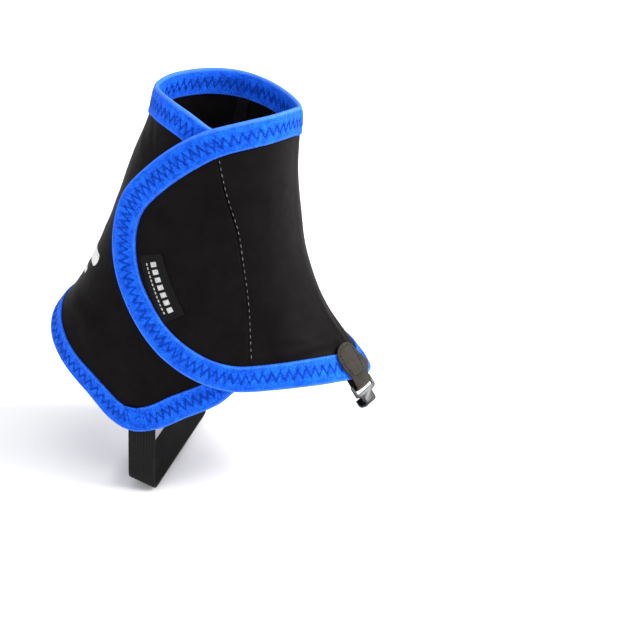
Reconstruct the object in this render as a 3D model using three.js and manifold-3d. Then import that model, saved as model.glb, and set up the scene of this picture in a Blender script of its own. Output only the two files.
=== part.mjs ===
// A low trail-running gaiter for the right foot, in its worn shape, in millimetres.
// +X points to the toe, -Y to the outer side of the foot, +Z up the leg.
// The origin is the middle of the upper face of the strap that passes under the shoe.
//
// Every cloth piece lies on one smooth leg surface. A place on it is [angle, height]:
// the angle is in degrees round the leg, 0 at the front, 90 on the outer side, 180 at the back
// and 270 (or -90) on the inner side. An offset is measured outwards from that surface.
// Heights on it are counted from a level a little above the origin, LEG_LEVEL.
import * as THREE from 'three';
import { mergeVertices } from 'three/addons/utils/BufferGeometryUtils.js';
import Module from 'manifold-3d';

// ---- Driving dimensions ----------------------------------------------------------------------
const CLOTH = 1.7; // thickness of the stretch cloth
const LEAF = 0.7; // thickness of one leaf of the folded elastic edging, and of the closure patches
const GAP = 0.45; // clearance between pieces that touch
const EDGING = 13; // how far the edging reaches in from the edge
const FLAP_LIFT = 4.8; // how far the flap's outer face stands above the rear panel's outer face
const LIFT_FROM = 5; // the front panel starts to rise towards the flap at this angle
const LIFT_TO = 50; // and has risen to the flap's level at this one
const STAND_OFF = 3; // how much further the flap's free back edge stands off the heel
const STAND_FROM = 112;
const STAND_TO = 145;
const UNDERLAP_END = 48; // the rear panel's end, below the front panel
const INNER_SEAM = -90; // where the front panel meets the rear panel
const SEAM_GAP = 0.35; // half the gap at the inner seam, in degrees

const LEG_LEVEL = 6; // how far the leg surface's zero height lies above the origin

const STRAP_WIDTH = 15;
const STRAP_THICKNESS = 1.5;
const STRAP_PITCH = 17; // slope of the shoe's sole, heel up, in degrees
const STRAP_TOP = 51; // height of the sewn ends
const STRAP_TOP_HALF = 44.9; // half the outer width at the sewn ends
const STRAP_BOTTOM_HALF = 45.4;
const STRAP_CORNER = 4.5;

const TAB_ANGLE = 16; // the lace tab's place on the front hem
const TAB_TURN = 16; // how far the tab is turned towards the toe, in degrees
const TAB_HALF_FOLD = 5.5; // half its width at the fold
const TAB_HALF_WIDE = 6.6; // half its width over the hem
const TAB_THICKNESS = 0.8;
const TAB_REACH = 18.5; // length of the outer leaf above the hem
const HOOK_METAL = 1.2;

// ---- The leg surface -------------------------------------------------------------------------
// Horizontal sections of the gaiter, 25 mm apart: x at the back, x at the front, half width,
// how much the section narrows towards the front, and how pointed its two ends are.
const FIRST_SECTION = 16;
const SECTION_STEP = 25;
const SECTIONS = [
  { back: -70.5, front: 147.9, half: 50.2, nose: 0.2, point: 0 },
  { back: -66.6, front: 126.6, half: 49.7, nose: 0.2, point: 0 },
  { back: -64.4, front: 105.0, half: 47.8, nose: 0.2, point: 0 },
  { back: -49.5, front: 84.2, half: 44.8, nose: 0.15, point: 0 },
  { back: -36.7, front: 73.7, half: 42.0, nose: 0.1, point: 0 },
  { back: -26.7, front: 68.8, half: 39.6, nose: 0.06, point: 0 },
  { back: -18.3, front: 66.5, half: 37.9, nose: 0.03, point: 0.08 },
  { back: -10.1, front: 66.7, half: 37.1, nose: 0.01, point: 0.25 },
  { back: -7.5, front: 68.6, half: 37.3, nose: 0, point: 0.6 },
];

// A smooth curve through one column of the sections, as a function of height.
function sectionValue(column, height) {
  const t = (height - FIRST_SECTION) / SECTION_STEP;
  const i = Math.min(Math.max(Math.floor(t), 0), SECTIONS.length - 2);
  const f = t - i;
  const b = SECTIONS[i][column];
  const c = SECTIONS[i + 1][column];
  const a = i > 0 ? SECTIONS[i - 1][column] : 2 * b - c;
  const d = i + 2 < SECTIONS.length ? SECTIONS[i + 2][column] : 2 * c - b;
  return b + 0.5 * f * (c - a + f * (2 * a - 5 * b + 4 * c - d + f * (3 * (b - c) + d - a)));
}

function onSurface(angle, height) {
  const back = sectionValue('back', height);
  const front = sectionValue('front', height);
  const cosine = Math.cos(THREE.MathUtils.degToRad(angle));
  const sine = Math.sin(THREE.MathUtils.degToRad(angle));
  const narrowing = 1 - sectionValue('nose', height) * cosine;
  const pointed = Math.abs(sine) ** Math.max(sectionValue('point', height), 0);
  return new THREE.Vector3(
    (back + front) / 2 + ((front - back) / 2) * cosine,
    -sectionValue('half', height) * sine * narrowing * pointed,
    height,
  );
}

// The surface's two directions (per degree and per millimetre of height) and its outward normal.
function surfaceFrame(angle, height) {
  const step = 0.1;
  const round = onSurface(angle + step, height).sub(onSurface(angle - step, height)).divideScalar(2 * step);
  const up = onSurface(angle, height + step).sub(onSurface(angle, height - step)).divideScalar(2 * step);
  const out = up.clone().cross(round).normalize();
  return { round, up, out };
}

function legPoint(angle, height, offset) {
  const { out } = surfaceFrame(angle, height);
  return onSurface(angle, height).addScaledVector(out, offset);
}

// The place reached from [angle, height] by going a distance along a direction in the surface.
function goAlong([angle, height], direction, distance) {
  const { round, up } = surfaceFrame(angle, height);
  const rr = round.dot(round);
  const ru = round.dot(up);
  const uu = up.dot(up);
  const dr = direction.dot(round);
  const du = direction.dot(up);
  const scale = distance / (rr * uu - ru * ru);
  return [angle + (dr * uu - du * ru) * scale, height + (du * rr - dr * ru) * scale];
}

// ---- Edges, as curves through [angle, height] points --------------------------------------------
class Edge {
  constructor(points) {
    const nodes = points.map(([angle, height]) => new THREE.Vector3(angle, height, 0));
    this.curve = new THREE.CatmullRomCurve3(nodes, false, 'catmullrom', 0.5);
    this.curve.arcLengthDivisions = 400;
    this.samples = this.curve.getSpacedPoints(400);
  }

  at(u) {
    const point = this.curve.getPointAt(THREE.MathUtils.clamp(u, 0, 1));
    return [point.x, point.y];
  }

  // The height at an angle, for an edge that runs round the leg.
  height(angle) {
    const list = this.samples;
    let i = 1;
    while (i < list.length - 1 && list[i].x < angle) i += 1;
    const share = (angle - list[i - 1].x) / (list[i].x - list[i - 1].x);
    return THREE.MathUtils.lerp(list[i - 1].y, list[i].y, share);
  }

  // The angle at a height, for an edge that runs up the leg.
  angle(height) {
    const list = this.samples;
    let i = 1;
    while (i < list.length - 1 && list[i].y < height) i += 1;
    const share = (height - list[i - 1].y) / (list[i].y - list[i - 1].y);
    return THREE.MathUtils.lerp(list[i - 1].x, list[i].x, share);
  }

  // The same edge's stretch between two angles.
  stretch(from, to, count) {
    const places = [];
    for (let i = 0; i <= count; i += 1) {
      const angle = THREE.MathUtils.lerp(from, to, i / count);
      places.push([angle, this.height(angle)]);
    }
    return places;
  }
}

const HEM_TIP = 112; // angle of the side tips where the strap is sewn
// Lower edge of the rear panel on the outer side, from the underlap's end to the middle of the back.
const REAR_HEM_HALF = [
  [UNDERLAP_END - 4, 67], [60, 65.5], [70, 60.5], [80, 51], [92.5, 41.8], [102.5, 33],
  [HEM_TIP, 28.4], [119.5, 32.2], [128.5, 43], [142, 53.4], [152, 60], [164.5, 65.2], [180, 67],
];
const INNER_HEM = [...REAR_HEM_HALF].reverse().slice(1).map(([angle, height]) => [360 - angle, height]);
const rearHem = new Edge([...REAR_HEM_HALF, ...INNER_HEM]);
const frontHem = new Edge([
  [INNER_SEAM - 10, 35], [INNER_SEAM, 43.6], [-79, 51.5], [-66, 57], [-48, 58.8], [-25, 58.8],
  [0, 59.6], [24, 60.6], [46, 61], [62, 60], [72, 59],
]);
const rearRim = new Edge([
  [UNDERLAP_END - 4, 191.5], [72, 191.8], [84, 193.8], [96, 198], [108, 201.2], [125, 203.2],
  [143, 203.2], [158, 202], [172, 200.8], [186, 201.2], [205, 202.6], [234, 202.2], [254, 201.2], [270, 199.9], [285, 198.4],
]);
const frontRim = new Edge([
  [INNER_SEAM - 15, 201.2], [INNER_SEAM, 199.9], [-71, 197.9], [-49, 196], [-25, 195.6],
  [0, 197.4], [18, 199.6], [36, 201], [52, 200.6], [66, 199.2], [80, 196.6],
]);

// The fold line of the flap, from hem to rim. The dashed seam runs down it.
const seamLine = new Edge([
  [67.6, 56], [63.4, 72], [57.4, 95], [56.2, 112.5], [57.6, 129.5], [60.7, 144.5],
  [68.3, 162], [74.3, 176], [80, 190], [83, 198],
]);
// The flap's free edge from the hem round the back of the flap to the rim.
const flapBottom = new Edge([[64, 59.9], [73, 59.2], [80.5, 62.2], [87, 67.4], [94.8, 76.2]]);
const flapBack = new Edge([
  [94.8, 76.2], [102.8, 87], [110.4, 97.6], [119.6, 109], [128.4, 122.4], [133.6, 133.4],
  [135.4, 145.4], [133.4, 154], [129, 160.6], [117.6, 174.2],
]);
const flapTop = new Edge([[117.6, 174.2], [108.4, 182], [98, 189], [88, 194.2], [76, 197.6]]);

// The front panel and the flap lie outside the underlap, so they rise from the front to the side,
// and the flap's free edge stands off a little more behind the ankle.
function lift(angle) {
  const over = FLAP_LIFT * THREE.MathUtils.smoothstep(angle, LIFT_FROM, LIFT_TO);
  return over + STAND_OFF * THREE.MathUtils.smoothstep(angle, STAND_FROM, STAND_TO);
}

function noLift() {
  return 0;
}

// ---- Solids ----------------------------------------------------------------------------------
function solidFrom(positions, triangles) {
  const geometry = new THREE.BufferGeometry();
  geometry.setAttribute('position', new THREE.Float32BufferAttribute(positions.flatMap((p) => p.toArray()), 3));
  let volume = 0;
  for (const [a, b, c] of triangles) volume += positions[a].dot(positions[b].clone().cross(positions[c]));
  geometry.setIndex(volume > 0 ? triangles.flat() : triangles.flatMap(([a, b, c]) => [a, c, b]));
  geometry.computeVertexNormals();
  return geometry;
}

// A sheet of cloth on the leg: place(u, v) gives [angle, height], inner and outer give the offsets.
function sheetSolid(columns, rows, place, inner, outer) {
  const positions = [];
  const triangles = [];
  const side = (columns + 1) * (rows + 1);
  for (const offset of [outer, inner]) {
    for (let i = 0; i <= columns; i += 1) {
      for (let j = 0; j <= rows; j += 1) {
        const [angle, height] = place(i / columns, j / rows);
        positions.push(legPoint(angle, height, offset(angle)));
      }
    }
  }
  const at = (i, j, layer) => layer * side + i * (rows + 1) + j;
  const quad = (a, b, c, d) => triangles.push([a, b, c], [a, c, d]);
  for (let i = 0; i < columns; i += 1) {
    for (let j = 0; j < rows; j += 1) {
      quad(at(i, j, 0), at(i, j + 1, 0), at(i + 1, j + 1, 0), at(i + 1, j, 0));
      quad(at(i, j, 1), at(i + 1, j, 1), at(i + 1, j + 1, 1), at(i, j + 1, 1));
    }
    quad(at(i, 0, 0), at(i + 1, 0, 0), at(i + 1, 0, 1), at(i, 0, 1));
    quad(at(i, rows, 0), at(i, rows, 1), at(i + 1, rows, 1), at(i + 1, rows, 0));
  }
  for (let j = 0; j < rows; j += 1) {
    quad(at(0, j, 0), at(0, j, 1), at(0, j + 1, 1), at(0, j + 1, 0));
    quad(at(columns, j, 0), at(columns, j + 1, 0), at(columns, j + 1, 1), at(columns, j, 1));
  }
  return solidFrom(positions, triangles);
}

// A solid through a row of closed outlines, all with the same number of points.
// The flat section is only used to fill the two end faces.
function loftSolid(outlines, flatSection, closed = false) {
  const clockwise = THREE.ShapeUtils.isClockWise(flatSection);
  const section = clockwise ? [...flatSection].reverse() : flatSection;
  const rings = clockwise ? outlines.map((outline) => [...outline].reverse()) : outlines;
  const count = section.length;
  const triangles = [];
  const spans = closed ? rings.length : rings.length - 1;
  for (let i = 0; i < spans; i += 1) {
    const here = i * count;
    const next = ((i + 1) % rings.length) * count;
    for (let k = 0; k < count; k += 1) {
      const l = (k + 1) % count;
      triangles.push([here + k, here + l, next + l], [here + k, next + l, next + k]);
    }
  }
  if (!closed) {
    const end = (rings.length - 1) * count;
    for (const [a, b, c] of THREE.ShapeUtils.triangulateShape(section, [])) {
      triangles.push([a, c, b], [end + a, end + b, end + c]);
    }
  }
  return solidFrom(rings.flat(), triangles);
}

// Folded edging along an edge: a channel whose two leaves hold the cloth between them.
// inward is +1 or -1, the side of the edge on which the cloth lies.
// With an end line, the last stretch leans over so that the edging stops along that line.
const LEANING_STATIONS = 5;

function edgingSolid(places, inward, reach, rise, endLine = null) {
  const top = GAP + LEAF;
  const bottom = -CLOTH - GAP - LEAF;
  const middle = reach / 2; // a point halfway lets each leaf bend with the leg
  const section = [
    [reach, top], [middle, top], [-GAP - LEAF, top],
    [-GAP - LEAF, bottom], [middle, bottom], [reach, bottom],
    [reach, bottom + LEAF], [middle, bottom + LEAF], [-GAP, bottom + LEAF],
    [-GAP, GAP], [middle, GAP], [reach, GAP],
  ].map(([x, y]) => new THREE.Vector2(x, y));
  const outlines = places.map((place, i) => {
    const before = places[Math.max(i - 1, 0)];
    const after = places[Math.min(i + 1, places.length - 1)];
    const along = onSurface(...after).sub(onSurface(...before)).normalize();
    const across = surfaceFrame(...place).out.cross(along).multiplyScalar(inward).normalize();
    if (endLine) {
      const lean = Math.max(0, 1 - (places.length - 1 - i) / LEANING_STATIONS);
      across.lerp(endLine.clone().divideScalar(endLine.dot(across)), lean);
    }
    return section.map(({ x, y }) => {
      const [angle, height] = goAlong(place, across, x);
      return legPoint(angle, height, rise(angle) + y);
    });
  });
  return loftSolid(outlines, section);
}

function standard(colour, roughness, metalness = 0) {
  return new THREE.MeshStandardMaterial({ color: colour, roughness, metalness });
}

const stretchCloth = standard(0x1d1a1b, 0.62);
const edgingElastic = standard(0x1450f0, 0.7);
const webbing = standard(0x1c1a18, 0.8);
const suede = standard(0x3a3632, 0.95);
const hookTape = standard(0x141414, 0.9);
const steel = standard(0x3c3d40, 0.35, 1);
const satin = standard(0x0d0d0e, 0.4);
const printFilm = standard(0xc8c8c8, 0.45);
const thread = standard(0x8c8a88, 0.6);

const gaiter = new THREE.Group();
gaiter.position.z = LEG_LEVEL;

function addPiece(name, geometry, material, parent = gaiter) {
  const piece = new THREE.Mesh(geometry, material);
  piece.name = name;
  parent.add(piece);
  return piece;
}

// ---- Panels ----------------------------------------------------------------------------------
const innerFace = (rise) => (angle) => rise(angle) - CLOTH;
const PANEL_ROWS = 13;
const END_CROWDING = 0.6; // rows lie closer together under the edging, where the profile bends

function rowShare(v) {
  return v - (END_CROWDING * Math.sin(2 * Math.PI * v)) / (2 * Math.PI);
}

const REAR_COLUMNS = 48;

function rearPanel() {
  const end = 360 + INNER_SEAM - SEAM_GAP;
  const place = (u, v) => {
    const angle = THREE.MathUtils.lerp(UNDERLAP_END, end, u);
    return [angle, THREE.MathUtils.lerp(rearHem.height(angle), rearRim.height(angle), rowShare(v))];
  };
  return sheetSolid(REAR_COLUMNS, PANEL_ROWS, place, innerFace(noLift), noLift);
}

const FRONT_COLUMNS = 34;
const FOLD_GAP = 0.25; // half the gap at the fold line, in degrees

function frontPanel() {
  const place = (u, v) => {
    const foldAngle = seamLine.angle(THREE.MathUtils.lerp(60, 197, rowShare(v))) - FOLD_GAP;
    const angle = THREE.MathUtils.lerp(INNER_SEAM + SEAM_GAP, foldAngle, u);
    return [angle, THREE.MathUtils.lerp(frontHem.height(angle), frontRim.height(angle), rowShare(v))];
  };
  return sheetSolid(FRONT_COLUMNS, PANEL_ROWS, place, innerFace(lift), lift);
}

// The flap is a four-sided sheet: fold line, bottom edge, back edge and top edge.
const FOLD_BOTTOM = 59.4; // heights of the fold line's two ends
const FOLD_TOP = 196.4;
const FLAP_ROWS = 24;

function mix([a, b], [c, d], share) {
  return [THREE.MathUtils.lerp(a, c, share), THREE.MathUtils.lerp(b, d, share)];
}

function foldPlace(v) {
  const height = THREE.MathUtils.lerp(FOLD_BOTTOM, FOLD_TOP, v);
  return [seamLine.angle(height) + FOLD_GAP, height];
}

function edgeFrom(edge, from, to, u) {
  const angle = THREE.MathUtils.lerp(from, to, u);
  return [angle, edge.height(angle)];
}

const flapTopRun = new Edge([...flapTop.curve.points].reverse().map((p) => [p.x, p.y]));
const flapCorners = { low: flapBack.at(0), high: flapBack.at(1) };

function flapPlace(u, v) {
  const foldLow = foldPlace(0);
  const foldHigh = foldPlace(1);
  const low = edgeFrom(flapBottom, foldLow[0], flapCorners.low[0], u);
  const high = edgeFrom(flapTopRun, foldHigh[0], flapCorners.high[0], u);
  const near = foldPlace(v);
  const far = flapBack.at(v);
  const between = mix(low, high, v);
  const sideways = mix(near, far, u);
  const corners = mix(mix(foldLow, flapCorners.low, u), mix(foldHigh, flapCorners.high, u), v);
  return [between[0] + sideways[0] - corners[0], between[1] + sideways[1] - corners[1]];
}

function closureFlap() {
  return sheetSolid(12, FLAP_ROWS, flapPlace, innerFace(lift), lift);
}

addPiece('rear_panel', rearPanel(), stretchCloth);
addPiece('front_panel', frontPanel(), stretchCloth);
addPiece('closure_flap', closureFlap(), stretchCloth);

// ---- Folded elastic edging --------------------------------------------------------------------
const rearSpan = [UNDERLAP_END, 360 + INNER_SEAM - SEAM_GAP];
addPiece('rear_rim_binding', edgingSolid(rearRim.stretch(...rearSpan, 40), 1, EDGING, noLift), edgingElastic);
addPiece('rear_hem_binding', edgingSolid(rearHem.stretch(...rearSpan, REAR_COLUMNS), -1, EDGING, noLift), edgingElastic);

const BINDING_FOLD_GAP = 0.9; // the edging stops a little before the fold line, in degrees
const frontHemEnd = seamLine.angle(FOLD_BOTTOM) - BINDING_FOLD_GAP;
const frontRimEnd = seamLine.angle(FOLD_TOP) - BINDING_FOLD_GAP;
const frontStart = INNER_SEAM + SEAM_GAP;
const frontHemPlaces = frontHem.stretch(frontStart, frontHemEnd, FRONT_COLUMNS);
const frontRimPlaces = frontRim.stretch(frontStart, frontRimEnd, FRONT_COLUMNS);
addPiece('front_hem_binding', edgingSolid(frontHemPlaces, -1, EDGING, lift), edgingElastic);
addPiece('front_rim_binding', edgingSolid(frontRimPlaces, 1, EDGING, lift), edgingElastic);

// The flap's edging follows its whole free edge from fold line to fold line.
function flapEdgePlaces() {
  const places = [];
  const fromAngle = seamLine.angle(FOLD_BOTTOM) + BINDING_FOLD_GAP;
  const toAngle = seamLine.angle(FOLD_TOP) + BINDING_FOLD_GAP;
  for (let i = 0; i < 10; i += 1) places.push(edgeFrom(flapBottom, fromAngle, flapCorners.low[0], i / 10));
  for (let i = 0; i <= FLAP_ROWS; i += 1) places.push(flapBack.at(i / FLAP_ROWS));
  for (let i = 9; i >= 0; i -= 1) places.push(edgeFrom(flapTopRun, toAngle, flapCorners.high[0], i / 10));
  return places;
}

const foldDown = onSurface(...foldPlace(0.9)).sub(onSurface(...foldPlace(1))).normalize();
addPiece('flap_binding', edgingSolid(flapEdgePlaces(), -1, EDGING, lift, foldDown), edgingElastic);

// Narrow edging on the underlap's front end, between the rim edging and the hem edging.
function underlapEdgePlaces() {
  const clear = EDGING + 2;
  const low = rearHem.height(UNDERLAP_END) + clear;
  const high = rearRim.height(UNDERLAP_END) - clear;
  return [0, 1, 2, 3, 4, 5, 6, 7, 8].map((i) => [UNDERLAP_END, THREE.MathUtils.lerp(low, high, i / 8)]);
}

addPiece('underlap_binding', edgingSolid(underlapEdgePlaces(), 1, 6, noLift), edgingElastic);

// ---- Pieces laid flat on the cloth ---------------------------------------------------------------
// A four-cornered patch between an inner and an outer offset. Corners run round the patch.
function patchSolid(corners, columns, rows, low, high) {
  const place = (u, v) => mix(mix(corners[0], corners[1], u), mix(corners[3], corners[2], u), v);
  return sheetSolid(columns, rows, place, low, high);
}

const above = (rise, distance) => (angle) => rise(angle) + distance;

const seamTapeHalf = 5; // degrees
const tapeLow = 60;
const tapeHigh = 184;
addPiece('medial_seam_tape', patchSolid(
  [[INNER_SEAM - seamTapeHalf, tapeLow], [INNER_SEAM + seamTapeHalf, tapeLow],
    [INNER_SEAM + seamTapeHalf, tapeHigh], [INNER_SEAM - seamTapeHalf, tapeHigh]],
  3, 8, above(noLift, -CLOTH - GAP - LEAF), above(noLift, -CLOTH - GAP),
), hookTape);

// The closure: the loop side on the rear panel, the hook side on the flap's inner face.
const LOOP_AREA = [[82, 92], [104, 110], [120, 142], [98, 166]];
const HOOK_AREA = [[88, 90], [101, 105], [114, 133], [102, 156]];
addPiece('loop_patch', patchSolid(
  LOOP_AREA, 10, 12, above(noLift, GAP), above(noLift, GAP + LEAF),
), hookTape);
addPiece('hook_patch', patchSolid(
  HOOK_AREA, 8, 10, above(lift, -CLOTH - GAP - LEAF), above(lift, -CLOTH - GAP),
), hookTape);

// The woven label is tucked against the inner edge of the flap's edging.
const LABEL = [[93.4, 93.2], [84.6, 99.4], [99.6, 129.4], [111.4, 125.6]];
const LABEL_THICKNESS = 0.3;
addPiece('woven_label', patchSolid(
  LABEL, 4, 8, above(lift, GAP), above(lift, GAP + LABEL_THICKNESS),
), satin);

// The stitching of the flap's seam, just in front of the fold line.
const THREAD_WIDTH = 0.9; // degrees
const THREAD_FROM_FOLD = 2.2; // degrees
const THREAD_THICKNESS = 0.3;
function seamThread() {
  const place = (u, v) => {
    const height = THREE.MathUtils.lerp(75.5, 181, v);
    return [seamLine.angle(height) - THREAD_FROM_FOLD + THREAD_WIDTH * u, height];
  };
  return sheetSolid(1, 16, place, above(lift, GAP), above(lift, GAP + THREAD_THICKNESS));
}

addPiece('seam_thread', seamThread(), thread);

// The transfer print on the back: a ring over a wide bar and a narrow bar.
const PRINT_CENTRE = 180;
const PRINT_THICKNESS = 0.25;
const printLow = above(noLift, GAP);
const printHigh = above(noLift, GAP + PRINT_THICKNESS);

function printPlace(sideways, height) {
  const { round } = surfaceFrame(PRINT_CENTRE, height);
  return [PRINT_CENTRE + sideways / round.length(), height];
}

function printBar(width, bottom, top) {
  const place = (u, v) => printPlace((u - 0.5) * width, THREE.MathUtils.lerp(bottom, top, v));
  return sheetSolid(12, 1, place, printLow, printHigh);
}

function printRing(centreHeight, outerRadius, innerRadius) {
  const steps = 32;
  const section = [[outerRadius, 1], [innerRadius, 1], [innerRadius, 0], [outerRadius, 0]];
  const outlines = [];
  for (let i = 0; i < steps; i += 1) {
    const turn = (i / steps) * 2 * Math.PI;
    outlines.push(section.map(([radius, layer]) => {
      const place = printPlace(radius * Math.cos(turn), centreHeight + radius * Math.sin(turn));
      return legPoint(...place, layer ? printHigh(place[0]) : printLow(place[0]));
    }));
  }
  return loftSolid(outlines, section.map(([x, y]) => new THREE.Vector2(x, y)), true);
}

addPiece('back_print_ring', printRing(131, 12, 8.4), printFilm);
addPiece('back_print_bar', printBar(52, 106, 113), printFilm);
addPiece('back_print_line', printBar(34, 98, 101), printFilm);

// ---- Strap under the shoe -------------------------------------------------------------------------
// A U of elastic webbing, drawn in the YZ plane, extruded along X and sheared to the sole's pitch.
function strapOutline() {
  const shape = new THREE.Shape();
  const wall = (half, inset, height) => {
    const lean = (STRAP_TOP_HALF - STRAP_BOTTOM_HALF) * (height / STRAP_TOP);
    return half - inset + lean;
  };
  const bend = (inset, sign, from, to) => {
    const radius = STRAP_CORNER - inset;
    const centreY = sign * (STRAP_BOTTOM_HALF - STRAP_CORNER);
    const centreZ = STRAP_CORNER - STRAP_THICKNESS;
    return [0, 1, 2, 3, 4, 5].map((i) => {
      const turn = THREE.MathUtils.lerp(from, to, i / 5);
      return [centreY + radius * Math.cos(turn), centreZ + radius * Math.sin(turn)];
    });
  };
  const quarter = Math.PI / 2;
  const path = [
    [-wall(STRAP_BOTTOM_HALF, 0, STRAP_TOP), STRAP_TOP],
    ...bend(0, -1, 2 * quarter, 3 * quarter),
    ...bend(0, 1, 3 * quarter, 4 * quarter),
    [wall(STRAP_BOTTOM_HALF, 0, STRAP_TOP), STRAP_TOP],
    [wall(STRAP_BOTTOM_HALF, STRAP_THICKNESS, STRAP_TOP), STRAP_TOP],
    ...bend(STRAP_THICKNESS, 1, 4 * quarter, 3 * quarter),
    ...bend(STRAP_THICKNESS, -1, 3 * quarter, 2 * quarter),
    [-wall(STRAP_BOTTOM_HALF, STRAP_THICKNESS, STRAP_TOP), STRAP_TOP],
  ];
  shape.setFromPoints(path.map(([y, z]) => new THREE.Vector2(y, z)));
  return shape;
}

function soleStrap() {
  const geometry = new THREE.ExtrudeGeometry(strapOutline(), { depth: STRAP_WIDTH, bevelEnabled: false });
  geometry.translate(0, 0, -STRAP_WIDTH / 2);
  const drop = Math.tan(THREE.MathUtils.degToRad(STRAP_PITCH));
  // Shape x becomes Y, shape y becomes Z, and the extrusion runs towards the toe and down.
  const toWorld = new THREE.Matrix4().set(
    0, 0, 1, 0,
    1, 0, 0, 0,
    0, 1, -drop, 0,
    0, 0, 0, 1,
  );
  geometry.applyMatrix4(toWorld);
  return geometry;
}

addPiece('sole_strap', soleStrap(), webbing).position.z = -LEG_LEVEL;

// The patches that hold the strap's ends, over the hem's side tips.
const ANCHOR_HALF_ANGLE = 3.6;
const ANCHOR_LOW = 31;
const ANCHOR_HIGH = 44;
const ANCHOR_THICKNESS = 0.9;
const anchorLow = above(noLift, 2 * GAP + LEAF);
const anchorHigh = above(noLift, 2 * GAP + LEAF + ANCHOR_THICKNESS);
function strapAnchor(centre) {
  const from = centre - ANCHOR_HALF_ANGLE;
  const to = centre + ANCHOR_HALF_ANGLE;
  const corners = [[from, ANCHOR_LOW], [to, ANCHOR_LOW], [to, ANCHOR_HIGH], [from, ANCHOR_HIGH]];
  return patchSolid(corners, 4, 4, anchorLow, anchorHigh);
}
const STRAP_ANGLE = 109; // where the strap's middle passes the hem
addPiece('strap_anchor_lateral', strapAnchor(STRAP_ANGLE), edgingElastic);
addPiece('strap_anchor_medial', strapAnchor(360 - STRAP_ANGLE), edgingElastic);

// ---- Lace tab and hook ------------------------------------------------------------------------------
const tabPlace = [TAB_ANGLE, frontHem.height(TAB_ANGLE)];
const tabFrame = surfaceFrame(...tabPlace);
const hemPoints = [frontHem.height(TAB_ANGLE - 1), frontHem.height(TAB_ANGLE + 1)];
const tabAlong = onSurface(TAB_ANGLE + 1, hemPoints[1]).sub(onSurface(TAB_ANGLE - 1, hemPoints[0])).normalize();
tabAlong.applyAxisAngle(tabFrame.out, THREE.MathUtils.degToRad(TAB_TURN));
const tabUp = tabAlong.clone().cross(tabFrame.out).normalize();

const BAR = 1.6; // height of the hook's bar, which sits in the fold of the tab
const hemEdge = -GAP - LEAF; // lower edge of the hem's edging
const slant = TAB_HALF_FOLD * Math.tan(THREE.MathUtils.degToRad(TAB_TURN));
const barCentre = hemEdge - GAP - BAR / 2 - slant;
const foldInside = barCentre - BAR / 2 - 2 * GAP; // the curved fold still lets the bar turn
const tabOuter = 2 * GAP + LEAF;
const tabInner = -CLOTH - 2 * GAP - LEAF;
const INNER_REACH = 12; // length of the tab's inner leaf

// The tab is one strip of suede folded round the hook's bar, its outer leaf round-ended.
function laceTab() {
  const outlines = [];
  const steps = 12;
  const section = (reach) => [
    [reach, tabOuter + TAB_THICKNESS], [10, tabOuter + TAB_THICKNESS], [3, tabOuter + TAB_THICKNESS],
    [foldInside, tabOuter + TAB_THICKNESS], [foldInside - TAB_THICKNESS, tabOuter],
    [foldInside - TAB_THICKNESS, tabInner], [foldInside, tabInner - TAB_THICKNESS],
    [3, tabInner - TAB_THICKNESS], [INNER_REACH, tabInner - TAB_THICKNESS], [INNER_REACH, tabInner],
    [3, tabInner], [foldInside, tabInner], [foldInside, tabOuter], [3, tabOuter],
    [10, tabOuter], [reach, tabOuter],
  ];
  for (let i = 0; i <= steps; i += 1) {
    const side = (2 * i) / steps - 1;
    const roundEnd = TAB_REACH - 8 * (1 - Math.sqrt(1 - (0.96 * side) ** 2));
    outlines.push(section(roundEnd).map(([up, out]) => {
      const widen = THREE.MathUtils.smoothstep(up, 0, 9);
      const half = THREE.MathUtils.lerp(TAB_HALF_FOLD, TAB_HALF_WIDE, widen);
      const risen = goAlong(tabPlace, tabUp, up);
      const [angle, height] = goAlong(risen, tabAlong, side * half);
      return legPoint(angle, height, lift(angle) + out);
    }));
  }
  return loftSolid(outlines, section(TAB_REACH).map(([x, y]) => new THREE.Vector2(x, y)));
}

addPiece('lace_tab', laceTab(), suede);

const wasm = await Module();
wasm.setup();

function toManifold(geometry) {
  const bare = geometry.clone();
  bare.deleteAttribute('normal');
  bare.deleteAttribute('uv');
  const merged = mergeVertices(bare, 1e-4);
  return new wasm.Manifold(new wasm.Mesh({
    numProp: 3,
    vertProperties: merged.attributes.position.array,
    triVerts: new Uint32Array(merged.index.array),
  }));
}

function toGeometry(manifold) {
  const mesh = manifold.getMesh();
  const geometry = new THREE.BufferGeometry();
  geometry.setAttribute('position', new THREE.BufferAttribute(mesh.vertProperties, 3));
  geometry.setIndex(new THREE.BufferAttribute(mesh.triVerts, 1));
  geometry.computeVertexNormals();
  return geometry;
}

// The hook in its own frame: X along the bar, Y outwards from the leg, Z up, origin in the bar.
const HOOK_DROP = 11; // from the bar's middle to the inside of the hook's bottom
const HOOK_MOUTH = 4.8; // clear width inside the hook
const HOOK_TIP = 3.4; // height of the tip above the inside of the bottom
const HOOK_BEND = 1.2; // inside radius of the two bends
const HOOK_HALF = 4; // half the width of the hook's tongue
const EYE_HALF = 8.6; // half the width of the eye that the tab passes through
const EYE_DROP = 4.2; // from the bar's middle to the eye's lower side

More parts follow.
